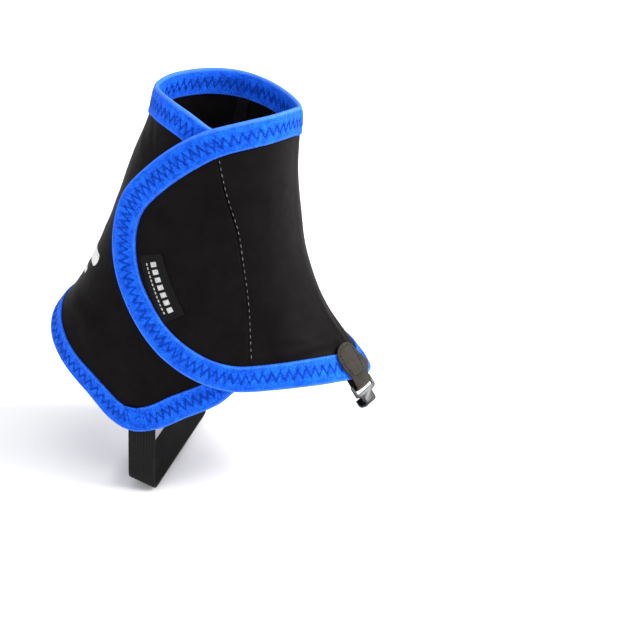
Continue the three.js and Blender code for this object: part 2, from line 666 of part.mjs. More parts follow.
function hookProfile() {
  const face = HOOK_METAL / 2;
  const outerBend = HOOK_BEND + HOOK_METAL;
  const shape = new THREE.Shape();
  shape.moveTo(face, BAR / 2);
  shape.lineTo(-face, BAR / 2);
  shape.lineTo(-face, -HOOK_DROP + HOOK_BEND);
  shape.absarc(-face - HOOK_BEND, -HOOK_DROP + HOOK_BEND, HOOK_BEND, 0, -Math.PI / 2, true);
  shape.lineTo(-face - HOOK_MOUTH + HOOK_BEND, -HOOK_DROP);
  shape.absarc(-face - HOOK_MOUTH + HOOK_BEND, -HOOK_DROP + HOOK_BEND, HOOK_BEND, -Math.PI / 2, -Math.PI, true);
  shape.lineTo(-face - HOOK_MOUTH, -HOOK_DROP + HOOK_TIP);
  shape.lineTo(-face - HOOK_MOUTH - HOOK_METAL, -HOOK_DROP + HOOK_TIP);
  shape.lineTo(-face - HOOK_MOUTH - HOOK_METAL, -HOOK_DROP + HOOK_BEND);
  shape.absarc(-face - HOOK_MOUTH + HOOK_BEND, -HOOK_DROP + HOOK_BEND, outerBend, Math.PI, 1.5 * Math.PI, false);
  shape.lineTo(-face - HOOK_BEND, -HOOK_DROP - HOOK_METAL);
  shape.absarc(-face - HOOK_BEND, -HOOK_DROP + HOOK_BEND, outerBend, 1.5 * Math.PI, 2 * Math.PI, false);
  shape.closePath();
  return shape;
}

function hookFace() {
  const shape = new THREE.Shape();
  const shoulder = -EYE_DROP - 1.6;
  shape.moveTo(-EYE_HALF, BAR / 2);
  shape.lineTo(-EYE_HALF, shoulder + 1);
  shape.quadraticCurveTo(-EYE_HALF, shoulder, -HOOK_HALF, shoulder - 0.8);
  shape.lineTo(-HOOK_HALF, -HOOK_DROP - 2 * HOOK_METAL);
  shape.lineTo(HOOK_HALF, -HOOK_DROP - 2 * HOOK_METAL);
  shape.lineTo(HOOK_HALF, shoulder - 0.8);
  shape.quadraticCurveTo(EYE_HALF, shoulder, EYE_HALF, shoulder + 1);
  shape.lineTo(EYE_HALF, BAR / 2);
  shape.closePath();
  const eye = new THREE.Path();
  const eyeHalf = TAB_HALF_FOLD + 3 * GAP;
  eye.moveTo(-eyeHalf, -BAR / 2);
  eye.lineTo(eyeHalf, -BAR / 2);
  eye.lineTo(eyeHalf, -EYE_DROP);
  eye.lineTo(-eyeHalf, -EYE_DROP);
  eye.closePath();
  shape.holes.push(eye);
  return shape;
}

function laceHook() {
  const depth = 2 * EYE_HALF + 1;
  const bent = new THREE.ExtrudeGeometry(hookProfile(), { depth, bevelEnabled: false, curveSegments: 6 });
  bent.translate(0, 0, -depth / 2);
  bent.applyMatrix4(new THREE.Matrix4().set(0, 0, 1, 0, 1, 0, 0, 0, 0, 1, 0, 0, 0, 0, 0, 1));
  const flat = new THREE.ExtrudeGeometry(hookFace(), { depth: 20, bevelEnabled: false, curveSegments: 6 });
  flat.translate(0, 0, -10);
  flat.rotateX(Math.PI / 2);
  return toGeometry(toManifold(bent).intersect(toManifold(flat)));
}

const hookSeat = new THREE.Group();
const barPlace = goAlong(tabPlace, tabUp, barCentre);
// The middle of the tab's fold at one side (-1), in the middle (0) or at the other side (1).
function foldMiddle(side) {
  const [angle, height] = goAlong(barPlace, tabAlong, side * TAB_HALF_FOLD);
  const outside = legPoint(angle, height, lift(angle) + tabOuter);
  return outside.lerp(legPoint(angle, height, lift(angle) + tabInner), 0.5);
}
const barAlong = foldMiddle(1).sub(foldMiddle(-1)).normalize();
const hookUp = barAlong.clone().cross(surfaceFrame(...barPlace).out).normalize();
hookSeat.position.copy(foldMiddle(-1)).lerp(foldMiddle(1), 0.5).lerp(foldMiddle(0), 0.5);
hookSeat.quaternion.setFromRotationMatrix(
  new THREE.Matrix4().makeBasis(barAlong, hookUp.clone().cross(barAlong), hookUp),
);
gaiter.add(hookSeat);
addPiece('lace_hook', laceHook(), steel, hookSeat);

export default gaiter;
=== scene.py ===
import math

import bmesh
import bpy
import numpy as np
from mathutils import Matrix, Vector


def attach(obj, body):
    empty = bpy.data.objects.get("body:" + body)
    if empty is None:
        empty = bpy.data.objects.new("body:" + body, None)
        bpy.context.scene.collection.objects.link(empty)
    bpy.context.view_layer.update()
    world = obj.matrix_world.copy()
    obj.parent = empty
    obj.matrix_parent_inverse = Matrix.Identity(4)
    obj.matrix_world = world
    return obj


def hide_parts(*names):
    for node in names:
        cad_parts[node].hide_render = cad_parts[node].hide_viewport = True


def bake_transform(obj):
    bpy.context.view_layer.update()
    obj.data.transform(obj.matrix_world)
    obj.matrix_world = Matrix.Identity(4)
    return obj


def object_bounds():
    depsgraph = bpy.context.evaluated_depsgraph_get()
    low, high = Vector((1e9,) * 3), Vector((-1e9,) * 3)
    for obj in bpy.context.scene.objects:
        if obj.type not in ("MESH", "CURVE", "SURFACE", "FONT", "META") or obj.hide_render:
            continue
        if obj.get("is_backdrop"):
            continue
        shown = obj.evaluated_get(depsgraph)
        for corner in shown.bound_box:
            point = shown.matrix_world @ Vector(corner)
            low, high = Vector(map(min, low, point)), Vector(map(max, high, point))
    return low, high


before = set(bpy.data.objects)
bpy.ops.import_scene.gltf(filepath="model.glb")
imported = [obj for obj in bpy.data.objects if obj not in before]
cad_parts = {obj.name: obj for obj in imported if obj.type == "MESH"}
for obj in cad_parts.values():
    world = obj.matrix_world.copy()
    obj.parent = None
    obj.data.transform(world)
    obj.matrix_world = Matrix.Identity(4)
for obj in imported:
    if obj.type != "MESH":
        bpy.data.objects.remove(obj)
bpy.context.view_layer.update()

# A trail-running gaiter worn on an unseen right foot. Shapes are worked out in millimetres on the
# leg surface that the CAD uses, and turned into metres when a mesh is made.
MM = 0.001
scene = bpy.context.scene
scene.view_settings.view_transform = "Standard"

# ---- Camera ----
TARGET = Vector((-0.017, 0.0, 0.107))
AZIMUTH, ELEVATION = 20.0, 24.5
DISTANCE = 0.9
LENS = 94.97
PAN_RIGHT = 0.1066  # the gaiter stands left of the middle of the picture
PAN_DOWN = 0.0340  # and above it


def linked(name, data):
    made = bpy.data.objects.new(name, data)
    scene.collection.objects.link(made)
    return made


def way_to(azimuth, elevation):
    """The way from the object to a place round it, in degrees; azimuth 0 is the wearer's right."""
    a, e = math.radians(azimuth), math.radians(elevation)
    return Vector((math.sin(a) * math.cos(e), -math.cos(a) * math.cos(e), math.sin(e)))


back = way_to(AZIMUTH, ELEVATION)
camera = linked("camera", bpy.data.cameras.new("camera"))
camera.data.lens = LENS
camera.data.clip_start, camera.data.clip_end = 0.01, 60
camera.location = TARGET + back * DISTANCE
aim = Vector((0, 0, -1)).rotation_difference(Vector((PAN_RIGHT, -PAN_DOWN, -1)))
camera.rotation_mode = "QUATERNION"
camera.rotation_quaternion = (-back).to_track_quat("-Z", "Y") @ aim
scene.camera = camera

# ---- The leg surface, as in the CAD ----
# Horizontal sections 25 mm apart: x at the back, x at the front, half width, narrowing to the
# front, and how pointed the two ends are.
LEG_LEVEL = 6.0  # how far the surface's zero height lies above the frame's origin
FIRST_SECTION = 16.0
SECTION_STEP = 25.0
SECTIONS = np.array([
    (-70.5, 147.9, 50.2, 0.2, 0), (-66.6, 126.6, 49.7, 0.2, 0), (-64.4, 105.0, 47.8, 0.2, 0),
    (-49.5, 84.2, 44.8, 0.15, 0), (-36.7, 73.7, 42.0, 0.1, 0), (-26.7, 68.8, 39.6, 0.06, 0),
    (-18.3, 66.5, 37.9, 0.03, 0.08), (-10.1, 66.7, 37.1, 0.01, 0.25), (-7.5, 68.6, 37.3, 0.0, 0.6),
])
PADDED = np.vstack([
    2 * SECTIONS[0] - SECTIONS[1], SECTIONS, 2 * SECTIONS[-1] - SECTIONS[-2],
])


def cubic(a, b, c, d, f):
    """A smooth curve from b to c as f goes from 0 to 1, with a before it and d after it."""
    return b + 0.5 * f * (c - a + f * (2 * a - 5 * b + 4 * c - d + f * (3 * (b - c) + d - a)))


def section(height):
    t = (height - FIRST_SECTION) / SECTION_STEP
    i = np.clip(np.floor(t).astype(int), 0, len(SECTIONS) - 2)
    f = (t - i)[..., None]
    return np.moveaxis(cubic(PADDED[i], PADDED[i + 1], PADDED[i + 2], PADDED[i + 3], f), -1, 0)


def on_surface(angle, height):
    """The leg surface at an angle (degrees, 0 in front, 90 on the outer side) and a height."""
    angle, height = np.broadcast_arrays(np.asarray(angle, float), np.asarray(height, float))
    rear, front, half, nose, point = section(height)
    cosine, sine = np.cos(np.radians(angle)), np.sin(np.radians(angle))
    pointed = np.abs(sine) ** np.maximum(point, 0)
    return np.stack([
        (rear + front) / 2 + (front - rear) / 2 * cosine,
        -half * sine * (1 - nose * cosine) * pointed,
        height,
    ], -1)


def surface_frame(angle, height):
    turn, step = 2.0, 0.1
    around = (on_surface(angle + turn, height) - on_surface(angle - turn, height)) / (2 * turn)
    up = (on_surface(angle, height + step) - on_surface(angle, height - step)) / (2 * step)
    out = np.cross(up, around)
    return around, up, out / np.linalg.norm(out, axis=-1, keepdims=True)


def dot(a, b):
    return (a * b).sum(-1)


def unit(a):
    return a / np.linalg.norm(a, axis=-1, keepdims=True)


def mix(a, b, share):
    return a + (b - a) * share


def run_along(points):
    """The distance along a chain of points, 0 at the first."""
    return np.concatenate([[0], np.cumsum(np.linalg.norm(np.diff(points, axis=0), axis=1))])


def at_run(s, run, rows):
    """The values at a run, between the rows of a table."""
    return np.stack([np.interp(s, run, column) for column in rows.T], -1)


def smoothstep(x, low, high):
    t = np.clip((x - low) / (high - low), 0, 1)
    return t * t * (3 - 2 * t)


# Soft creases of the worn cloth: angle, height, direction in degrees from level, half length,
# half width and rise in millimetres.
CREASES = [
    (50, 77.2, -2, 36, 1.5, 0.85), (48, 74.0, -2, 38, 1.2, -0.45), (30, 81.0, 9, 17, 2.2, 0.50),
    (68, 83.5, -14, 15, 2.4, 0.45), (12, 82.0, 64, 11, 2.6, 0.45), (1, 84.0, 96, 12, 2.8, 0.40),
    (22, 86.0, 48, 13, 3.2, -0.35), (-8, 86.0, 118, 13, 3.0, -0.30), (120, 62.0, 52, 20, 3.5, 0.45),
    (131, 70.0, 40, 22, 4.0, -0.40), (146, 84.0, 20, 20, 4.0, 0.45), (163, 92.0, 4, 22, 4.5, -0.35),
    (190, 90.0, -6, 24, 4.0, 0.40), (152, 176.0, 24, 14, 3.5, 0.35), (138, 184.0, 40, 13, 3.0, -0.3),
    (240, 70.0, -50, 22, 4.0, 0.45), (228, 82.0, -32, 22, 4.5, -0.35), (300, 84.0, 8, 30, 3.0, 0.4),
    (318, 90.0, -12, 24, 4.0, -0.3), (285, 150.0, 78, 34, 6.0, 0.35), (40, 150.0, 86, 36, 7.0, 0.3),
    (100, 150.0, 60, 26, 6.0, 0.3), (172, 150.0, 85, 30, 7.0, 0.3),
]
MM_PER_DEGREE = 1.05
WAVES = [
    (0.021, 0.034, 0.3, 0.22), (0.037, -0.018, 1.9, 0.18), (-0.012, 0.051, 4.1, 0.14),
    (0.055, 0.027, 2.6, 0.10), (0.018, -0.072, 5.2, 0.09),
]
WAVE_STEEPNESS = 2.2
LEAST_SPAN = 0.09  # square of the fewest millimetres that a degree is taken to span


def crease(angle, height):
    """How far the worn cloth stands off the smooth leg surface, in millimetres."""
    rise = np.zeros(np.broadcast(angle, height).shape)
    for centre, level, turn, length, width, amount in CREASES:
        round_way = ((angle - centre + 180) % 360 - 180) * MM_PER_DEGREE
        up_way = height - level
        c, s = math.cos(math.radians(turn)), math.sin(math.radians(turn))
        along = (round_way * c + up_way * s) / length
        across = (up_way * c - round_way * s) / width
        rise += amount * np.exp(-(along ** 2) - across ** 2)
    for per_degree, per_mm, phase, amount in WAVES:
        turns = np.round(per_degree * 360 / (2 * math.pi)) / 360 * 2 * math.pi
        rise += amount * np.sin(turns * angle + per_mm * WAVE_STEEPNESS * height + phase)
    return rise


def leg(angle, height, offset):
    """A point on the worn cloth: crease and all, an offset out from the rear panel's face."""
    _, _, out = surface_frame(angle, height)
    far = np.asarray(offset + crease(angle, height))
    return on_surface(angle, height) + out * far[..., None]


def go_along(angle, height, direction, distance):
    around, up, _ = surface_frame(angle, height)
    # Close to the rim's pointed front a degree spans hardly any cloth.
    rr, ru, uu = np.maximum(dot(around, around), LEAST_SPAN), dot(around, up), dot(up, up)
    dr, du = dot(direction, around), dot(direction, up)
    scale = distance / (rr * uu - ru * ru)
    return angle + (dr * uu - du * ru) * scale, height + (du * rr - dr * ru) * scale


# ---- Edges ----
class Edge:
    """A smooth curve through [angle, height] points."""

    def __init__(self, points):
        p = np.array(points, float)
        p = np.vstack([2 * p[0] - p[1], p, 2 * p[-1] - p[-2]])
        pieces = []
        for i in range(len(p) - 3):
            f = np.linspace(0, 1, 60, endpoint=i == len(p) - 4)[:, None]
            pieces.append(cubic(*p[i:i + 4], f))
        self.dense = np.vstack(pieces)
        self.run = run_along(self.dense)

    def at(self, share):
        s = np.clip(share, 0, 1) * self.run[-1]
        return np.interp(s, self.run, self.dense[:, 0]), np.interp(s, self.run, self.dense[:, 1])

    @staticmethod
    def _between(x, xs, ys):
        low = ys[0] + (x - xs[0]) * (ys[1] - ys[0]) / (xs[1] - xs[0])
        high = ys[-1] + (x - xs[-1]) * (ys[-1] - ys[-2]) / (xs[-1] - xs[-2])
        return np.where(x < xs[0], low, np.where(x > xs[-1], high, np.interp(x, xs, ys)))

    def height(self, angle):
        order = self.dense[:: 1 if self.dense[-1, 0] > self.dense[0, 0] else -1]
        return self._between(np.asarray(angle, float), order[:, 0], order[:, 1])

    def angle(self, height):
        return self._between(np.asarray(height, float), self.dense[:, 1], self.dense[:, 0])


UNDERLAP_END = 48
INNER_SEAM = -90
HEM_TIP = 112
OUTER_HEM = [
    (UNDERLAP_END - 4, 67), (60, 65.5), (70, 60.5), (80, 51), (92.5, 41.8), (102.5, 33),
    (HEM_TIP, 28.4), (119.5, 32.2), (128.5, 43), (142, 53.4), (152, 60), (164.5, 65.2), (180, 67),
]
rear_hem = Edge(OUTER_HEM + [(360 - a, h) for a, h in OUTER_HEM[-2::-1]])
front_hem = Edge([
    (-100, 35), (-90, 43.6), (-79, 51.5), (-66, 57), (-48, 58.8), (-25, 58.8),
    (0, 59.6), (24, 60.6), (46, 61), (62, 60), (72, 59),
])
rear_rim = Edge([
    (UNDERLAP_END - 4, 191.5), (72, 191.8), (84, 193.8), (96, 198), (108, 201.2), (125, 203.2),
    (143, 203.2), (158, 202), (172, 200.8), (186, 201.2), (205, 202.6), (234, 202.2),
    (254, 201.2), (270, 199.9), (285, 198.4),
])
front_rim = Edge([
    (-105, 201.2), (-90, 199.9), (-71, 197.9), (-49, 196), (-25, 195.6),
    (0, 197.4), (18, 199.6), (36, 201), (52, 200.6), (66, 199.2), (80, 196.6),
])
seam_line = Edge([
    (67.6, 56), (63.4, 72), (57.4, 95), (56.2, 112.5), (57.6, 129.5), (60.7, 144.5),
    (68.3, 162), (74.3, 176), (80, 190), (83, 198),
])
flap_bottom = Edge([(64, 59.9), (73, 59.2), (80.5, 62.2), (87, 67.4), (94.8, 76.2)])
flap_back = Edge([
    (94.8, 76.2), (102.8, 87), (110.4, 97.6), (119.6, 109), (128.4, 122.4), (133.6, 133.4),
    (135.4, 145.4), (133.4, 154), (129, 160.6), (117.6, 174.2),
])
flap_top = Edge([(76, 197.6), (88, 194.2), (98, 189), (108.4, 182), (117.6, 174.2)])


def lift(angle):
    """The front panel and the flap rise over the underlap; the flap's free edge stands off."""
    return 4.8 * smoothstep(angle, 5, 50) + 3.0 * smoothstep(angle, 112, 145)


def no_lift(angle):
    return 0 * angle


# ---- Meshes ----
def add_object(name, points, faces, material, extra=None):
    """A smooth-shaded piece from millimetres on the leg surface, with values kept at its points."""
    mesh = bpy.data.meshes.new(name)
    mesh.from_pydata(((np.asarray(points) + (0, 0, LEG_LEVEL)) * MM).tolist(), [], faces)
    mesh.validate()
    mesh.polygons.foreach_set("use_smooth", [True] * len(mesh.polygons))
    for key, values in (extra or {}).items():
        kind = "FLOAT_VECTOR" if np.ndim(values) == 2 else "FLOAT"
        layer = mesh.attributes.new(key, kind, "POINT")
        field = "vector" if kind == "FLOAT_VECTOR" else "value"
        layer.data.foreach_set(field, np.asarray(values, np.float32).ravel())
    mesh.materials.append(material)
    return linked(name, mesh)


def quads(a, b, c, d):
    return np.stack([a, b, c, d], -1).reshape(-1, 4)


def rounded_steps(length, radius, count, crowd=0.0):
    """Places 0..1 along one side of a sheet, and the share of its thickness at each."""
    radius = min(radius, length * 0.45)
    bend = np.radians([0, 25, 50, 72])
    edge_at = radius * (1 - np.cos(bend)) / length
    shares = np.sin(bend)
    inner = np.linspace(0, 1, count + 1)
    inner = inner - crowd * np.sin(2 * np.pi * inner) / (2 * np.pi)
    inner = radius / length + inner * (1 - 2 * radius / length)
    places = np.concatenate([edge_at, inner, 1 - edge_at[::-1]])
    thick = np.concatenate([shares, np.ones(count + 1), shares[::-1]])
    return places, thick


def sheet_grid(size, radius, counts, crowd=0.0):
    """Places (u, v) all over a sheet, and the share of its thickness at each."""
    us, fu = rounded_steps(size[0], radius, counts[0])
    vs, fv = rounded_steps(size[1], radius, counts[1], crowd)
    u, v = np.meshgrid(us, vs, indexing="ij")
    return u, v, np.minimum(fu[:, None], fv[None, :])


def closed_sheet(middle, thickness, out):
    """Points and faces of a sheet whose two sides share the points of its rim."""
    nu, nv = middle.shape[:2]
    half = (np.asarray(thickness) / 2)[..., None]
    upper = (middle + out * half).reshape(-1, 3)
    lower = (middle - out * half)[1:-1, 1:-1].reshape(-1, 3)
    index = np.arange(nu * nv).reshape(nu, nv)
    under = index.copy()
    under[1:-1, 1:-1] = nu * nv + np.arange(len(lower)).reshape(nu - 2, nv - 2)
    top = quads(index[:-1, :-1], index[:-1, 1:], index[1:, 1:], index[1:, :-1])
    low = quads(under[:-1, :-1], under[1:, :-1], under[1:, 1:], under[:-1, 1:])
    return np.vstack([upper, lower]), np.vstack([top, low])


def shell(name, middle, thickness, material, place, out=None):
    """A closed sheet from its middle surface's points and its thickness at each, 0 on the rim."""
    if out is None:
        out = unit(np.cross(np.gradient(middle, axis=1), np.gradient(middle, axis=0)))
    points, faces = closed_sheet(middle, thickness, out)
    flat = np.concatenate([place.reshape(-1, 3), place[1:-1, 1:-1].reshape(-1, 3)])
    return add_object(name, points, faces.tolist(), material, {"cloth_place": flat * MM})


def patch(
    name, where, size, thickness, offset, rise, material, counts, radius, crowd=0.0, wave=None,
):
    """A sheet laid on the leg. where(u, v) gives angles and heights; offset is its middle's."""
    u, v, share = sheet_grid(size, radius, counts, crowd)
    angle, height = where(u, v)
    middle = leg(angle, height, rise(angle) + offset + (0 if wave is None else wave(u, v)))
    _, _, out = surface_frame(angle, height)
    place = np.stack([u * size[0], v * size[1], 0 * u], -1)
    return shell(name, middle, thickness * share, material, place, out)


TURN_SMOOTHING = 7  # stations on each side over which the edging's inward direction is evened out
STATION = 0.8  # about how far apart the stations are


class Band:
    """Folded elastic edging that runs along an edge, with its own (run, inward, out) coordinates."""

    def __init__(self, path, inward, rise):
        path = np.asarray(path, float)
        run = run_along(on_surface(*path.T))
        self.run = np.linspace(0, run[-1], int(run[-1] / STATION))
        self.path = at_run(self.run, run, path)
        spots = on_surface(*self.path.T)
        out = surface_frame(*self.path.T)[2]
        across = unit(np.cross(out, unit(np.gradient(spots, axis=0)))) * inward
        calm = np.hanning(2 * TURN_SMOOTHING + 3)[1:-1]
        across = np.pad(across, ((TURN_SMOOTHING, TURN_SMOOTHING), (0, 0)), "edge")
        self.across = unit(np.stack([np.convolve(across[:, k], calm, "valid") for k in range(3)], -1))
        self.rise = rise
        self.length = run[-1]

    def spot(self, s, x):
        """Angle and height at a run and a distance in from the edge."""
        spot = at_run(s, self.run, self.path)
        return go_along(spot[..., 0], spot[..., 1], at_run(s, self.run, self.across), x)

    def point(self, s, x, y):
        angle, height = self.spot(s, x)
        return leg(angle, height, self.rise(angle) + y)

    def run_at(self, angle, near):
        """The run at which the edge passes an angle, on the half of it that near (0 or 1) names."""
        half = len(self.run) // 2
        part = slice(0, half) if near == 0 else slice(half, None)
        a, r = self.path[part, 0], self.run[part]
        return float(r[np.argmin(np.abs(a - angle))])


EDGING_WIDTH = 13.0
LEAF_OUT = 0.95  # the edging's outer face above the cloth
LEAF_IN = -2.65  # and its inner face, cloth included
LEAF_MIDDLE = (LEAF_OUT + LEAF_IN) / 2
CLOTH = 1.7
CHANNEL_GAP = 0.04  # between the cloth and the edging round it
FOLD_REACH = 0.85
ROW = 0.62  # about how far apart the edging's rows of points are
STITCH_PERIOD = 4.4
STITCH_HALF = 2.5
STITCH_CLEAR = 0.7  # how far the stitching stays from the edging's ends
THREAD_SUNK = 0.06
PIT_DEPTH, SWELL, BORDER, PUCKER = 0.24, 0.07, 0.05, 0.07  # the relief of the edging's leaves
END_RUNS = np.array([0.0, 0.06, 0.18])  # extra rows at the edging's ends, and how slim they are
END_SLIM = [0.72, 0.9, 0.98]


def stitch_line(s, middle):
    """Where the zigzag stitching is, measured in from the edge, at a run."""
    t = (s / STITCH_PERIOD) % 1.0
    return middle + STITCH_HALF * (4 * np.abs(t - 0.5) - 1)


def edging(name, band, start, end, reach=EDGING_WIDTH):
    """The edging's mesh between two runs: outer leaf, fold, inner leaf and the channel's inside."""
    middle = reach * 0.5
    across = np.linspace(reach - 0.9, 0.6, 19)
    outer = [(reach, 0.30), (reach - 0.06, 0.66), (reach - 0.22, 0.88)]
    outer += [(x, LEAF_OUT) for x in across]
    fold = [
        (-FOLD_REACH * math.cos(t) ** 0.8, LEAF_MIDDLE + (LEAF_OUT - LEAF_MIDDLE) * math.sin(t))
        for t in np.radians(np.linspace(80, -80, 9))
    ]
    inner = [(x, LEAF_IN) for x in across[::-1]]
    inner += [(reach - 0.22, LEAF_IN + 0.07), (reach - 0.06, LEAF_IN + 0.29), (reach, LEAF_IN + 0.65)]
    channel = [(x, -CLOTH - CHANNEL_GAP) for x in (reach, middle, 0.05)]
    channel += [(x, CHANNEL_GAP) for x in (0.05, middle, reach)]
    ring = np.array(outer + fold + inner + channel)
    first_inner = len(outer) + len(fold)
    first_channel = first_inner + len(inner)
    face = np.zeros(len(ring))
    face[:len(outer)] = 1
    face[first_inner:first_channel] = -1

    count = max(int((end - start) / ROW), 8)
    inside_runs = np.linspace(start + 0.4, end - 0.4, count)
    runs = np.concatenate([start + END_RUNS, inside_runs, end - END_RUNS[::-1]])
    slim = np.concatenate([END_SLIM, np.ones(count), END_SLIM[::-1]])
    s, _ = np.meshgrid(runs, np.arange(len(ring)), indexing="ij")
    x = np.broadcast_to(ring[:, 0], s.shape).copy()
    y = np.broadcast_to(ring[:, 1], s.shape).copy()
    side = np.broadcast_to(face, s.shape)
    # The ends are a little thinner, and so is the fold.
    thinner = (1 - (1 - slim[:, None]) * 0.35) * (1 - 0.38 * (1 - smoothstep(x, -1.2, 3.4)))
    y = LEAF_MIDDLE + (y - LEAF_MIDDLE) * thinner
    # The zigzag pulls the leaf in, and the stretched elastic swells a little between its legs.
    off_line = np.abs(x - stitch_line(s, middle)) * (0.66 if reach < 8 else 0.4)
    inside = smoothstep(x, 0.4, 1.6) * (1 - smoothstep(x, reach - 1.6, reach - 0.5))
    pit = np.exp(-(off_line / 0.42) ** 2) * inside
    swell = SWELL * np.sin(2 * math.pi * s / STITCH_PERIOD * 2)
    swell = swell * np.exp(-((x - middle) / (reach * 0.32)) ** 2)
    border = BORDER * np.exp(-((x - reach + 1.2) / 0.8) ** 2)
    y = y + side * inside * (swell - PIT_DEPTH * pit) + side * border
    pucker = PUCKER * np.sin(2 * math.pi * s / (STITCH_PERIOD * 0.5) + 0.6)
    x = x + pucker * smoothstep(x, reach - 2, reach)
    rows, columns = s.shape
    index = np.arange(rows * columns).reshape(rows, columns)
    beside = np.roll(index, -1, axis=1)
    faces = quads(index[:-1], beside[:-1], beside[1:], index[1:]).tolist()
    # Each end is closed by three faces: the outer leaf, the web at the fold and the inner leaf.
    half = first_channel + len(channel) // 2
    top = [*range(len(outer)), *range(half, columns)]
    web = [*range(len(outer) - 1, first_inner + 1), half - 1, half]
    bottom = [*range(first_inner, half)]
    for row, way in ((index[0], -1), (index[-1], 1)):
        faces += [row[loop[::way]].tolist() for loop in (top, web, bottom)]
    extra = {"cloth_place": np.stack([s, x, y], -1).reshape(-1, 3) * MM, "pit": pit.ravel()}
    return add_object(name, band.point(s, x, y).reshape(-1, 3), faces, EDGING_LOOK, extra)


STITCH_TAPER = np.array([0.45, 0.92, 1, 1, 0.92, 0.45])  # a stitch's thickness along it
STITCH_SIDES = 6
THREAD = 0.2  # radius of the straight stitches, and how far their middle rises
THREAD_ARCH = 0.16


def threads(name, starts, ends, surface, radius, arch, material, sink=0.1):
    """Stitches, each from a start to an end in a surface's own coordinates, dipping in at both."""
    starts, ends = np.asarray(starts, float), np.asarray(ends, float)
    rings = len(STITCH_TAPER)
    t = np.linspace(0, 1, rings)
    spots = starts[:, None, :] + (ends - starts)[:, None, :] * t[None, :, None]
    rise = arch * np.sin(math.pi * t) - sink
    centre = surface(spots[..., 0], spots[..., 1], np.broadcast_to(rise, spots.shape[:2]))
    above = surface(spots[..., 0], spots[..., 1], np.broadcast_to(rise + 0.5, spots.shape[:2]))
    along = unit(np.gradient(centre, axis=1))
    side = unit(np.cross(along, unit(above - centre)))
    up = np.cross(side, along)
    turn = np.linspace(0, 2 * math.pi, STITCH_SIDES, endpoint=False)
    circle = side[..., None, :] * np.cos(turn)[:, None] + up[..., None, :] * np.sin(turn)[:, None]
    points = centre[..., None, :] + circle * (radius * STITCH_TAPER)[:, None, None]
    index = np.arange(points.size // 3).reshape(len(starts), rings, STITCH_SIDES)
    beside = np.roll(index, -1, axis=2)
    faces = quads(index[:, :-1], index[:, 1:], beside[:, 1:], beside[:, :-1])
    caps = np.vstack([index[:, 0, :], index[:, -1, ::-1]])
    return add_object(name, points.reshape(-1, 3), faces.tolist() + caps.tolist(), material)


def zigzag(name, band, start, end, out_side):
    """The edging's zigzag stitching: two stitches to each leg."""
    middle = EDGING_WIDTH * 0.5
    half = STITCH_PERIOD / 2
    starts, finishes = [], []
    for k in range(math.ceil((start + STITCH_CLEAR) / half), math.floor((end - STITCH_CLEAR) / half)):
        s0, s1 = k * half, (k + 1) * half
        x0, x1 = stitch_line(s0, middle), stitch_line(s1 - 1e-6, middle)
        for a, b in ((0.03, 0.48), (0.52, 0.97)):
            starts.append((s0 + (s1 - s0) * a, x0 + (x1 - x0) * a))
            finishes.append((s0 + (s1 - s0) * b, x0 + (x1 - x0) * b))
    sign = 1 if out_side else -1
    base = LEAF_OUT - THREAD_SUNK if out_side else LEAF_IN + THREAD_SUNK

    def surface(s, x, rise):
        return band.point(s, x, base + sign * rise)

    return threads(name, starts, finishes, surface, 0.23, arch=0.2, material=BLUE_THREAD, sink=0.16)


# ---- Materials ----
class Nodes:
    """A node tree, with short ways to add to it."""

    def __init__(self, tree):
        self.tree = tree

    def add(self, kind, links=(), **settings):
        made = self.tree.nodes.new("ShaderNode" + kind)
        for key, value in settings.items():
            socket = made.inputs.get(key.replace("_", " "))
            if socket is None:
                setattr(made, key, value)
            else:
                socket.default_value = value
        for key, source in links:
            self.tree.links.new(source, made.inputs[key])
        return made

    def ramp(self, value, stops):
        made = self.add("ValToRGB", [("Fac", value)])
        band = made.color_ramp
        while len(band.elements) < len(stops):
            band.elements.new(0.5)
        for element, (place, colour) in zip(band.elements, stops):
            element.position = place
            element.color = (*colour, 1)
        return made.outputs["Color"]


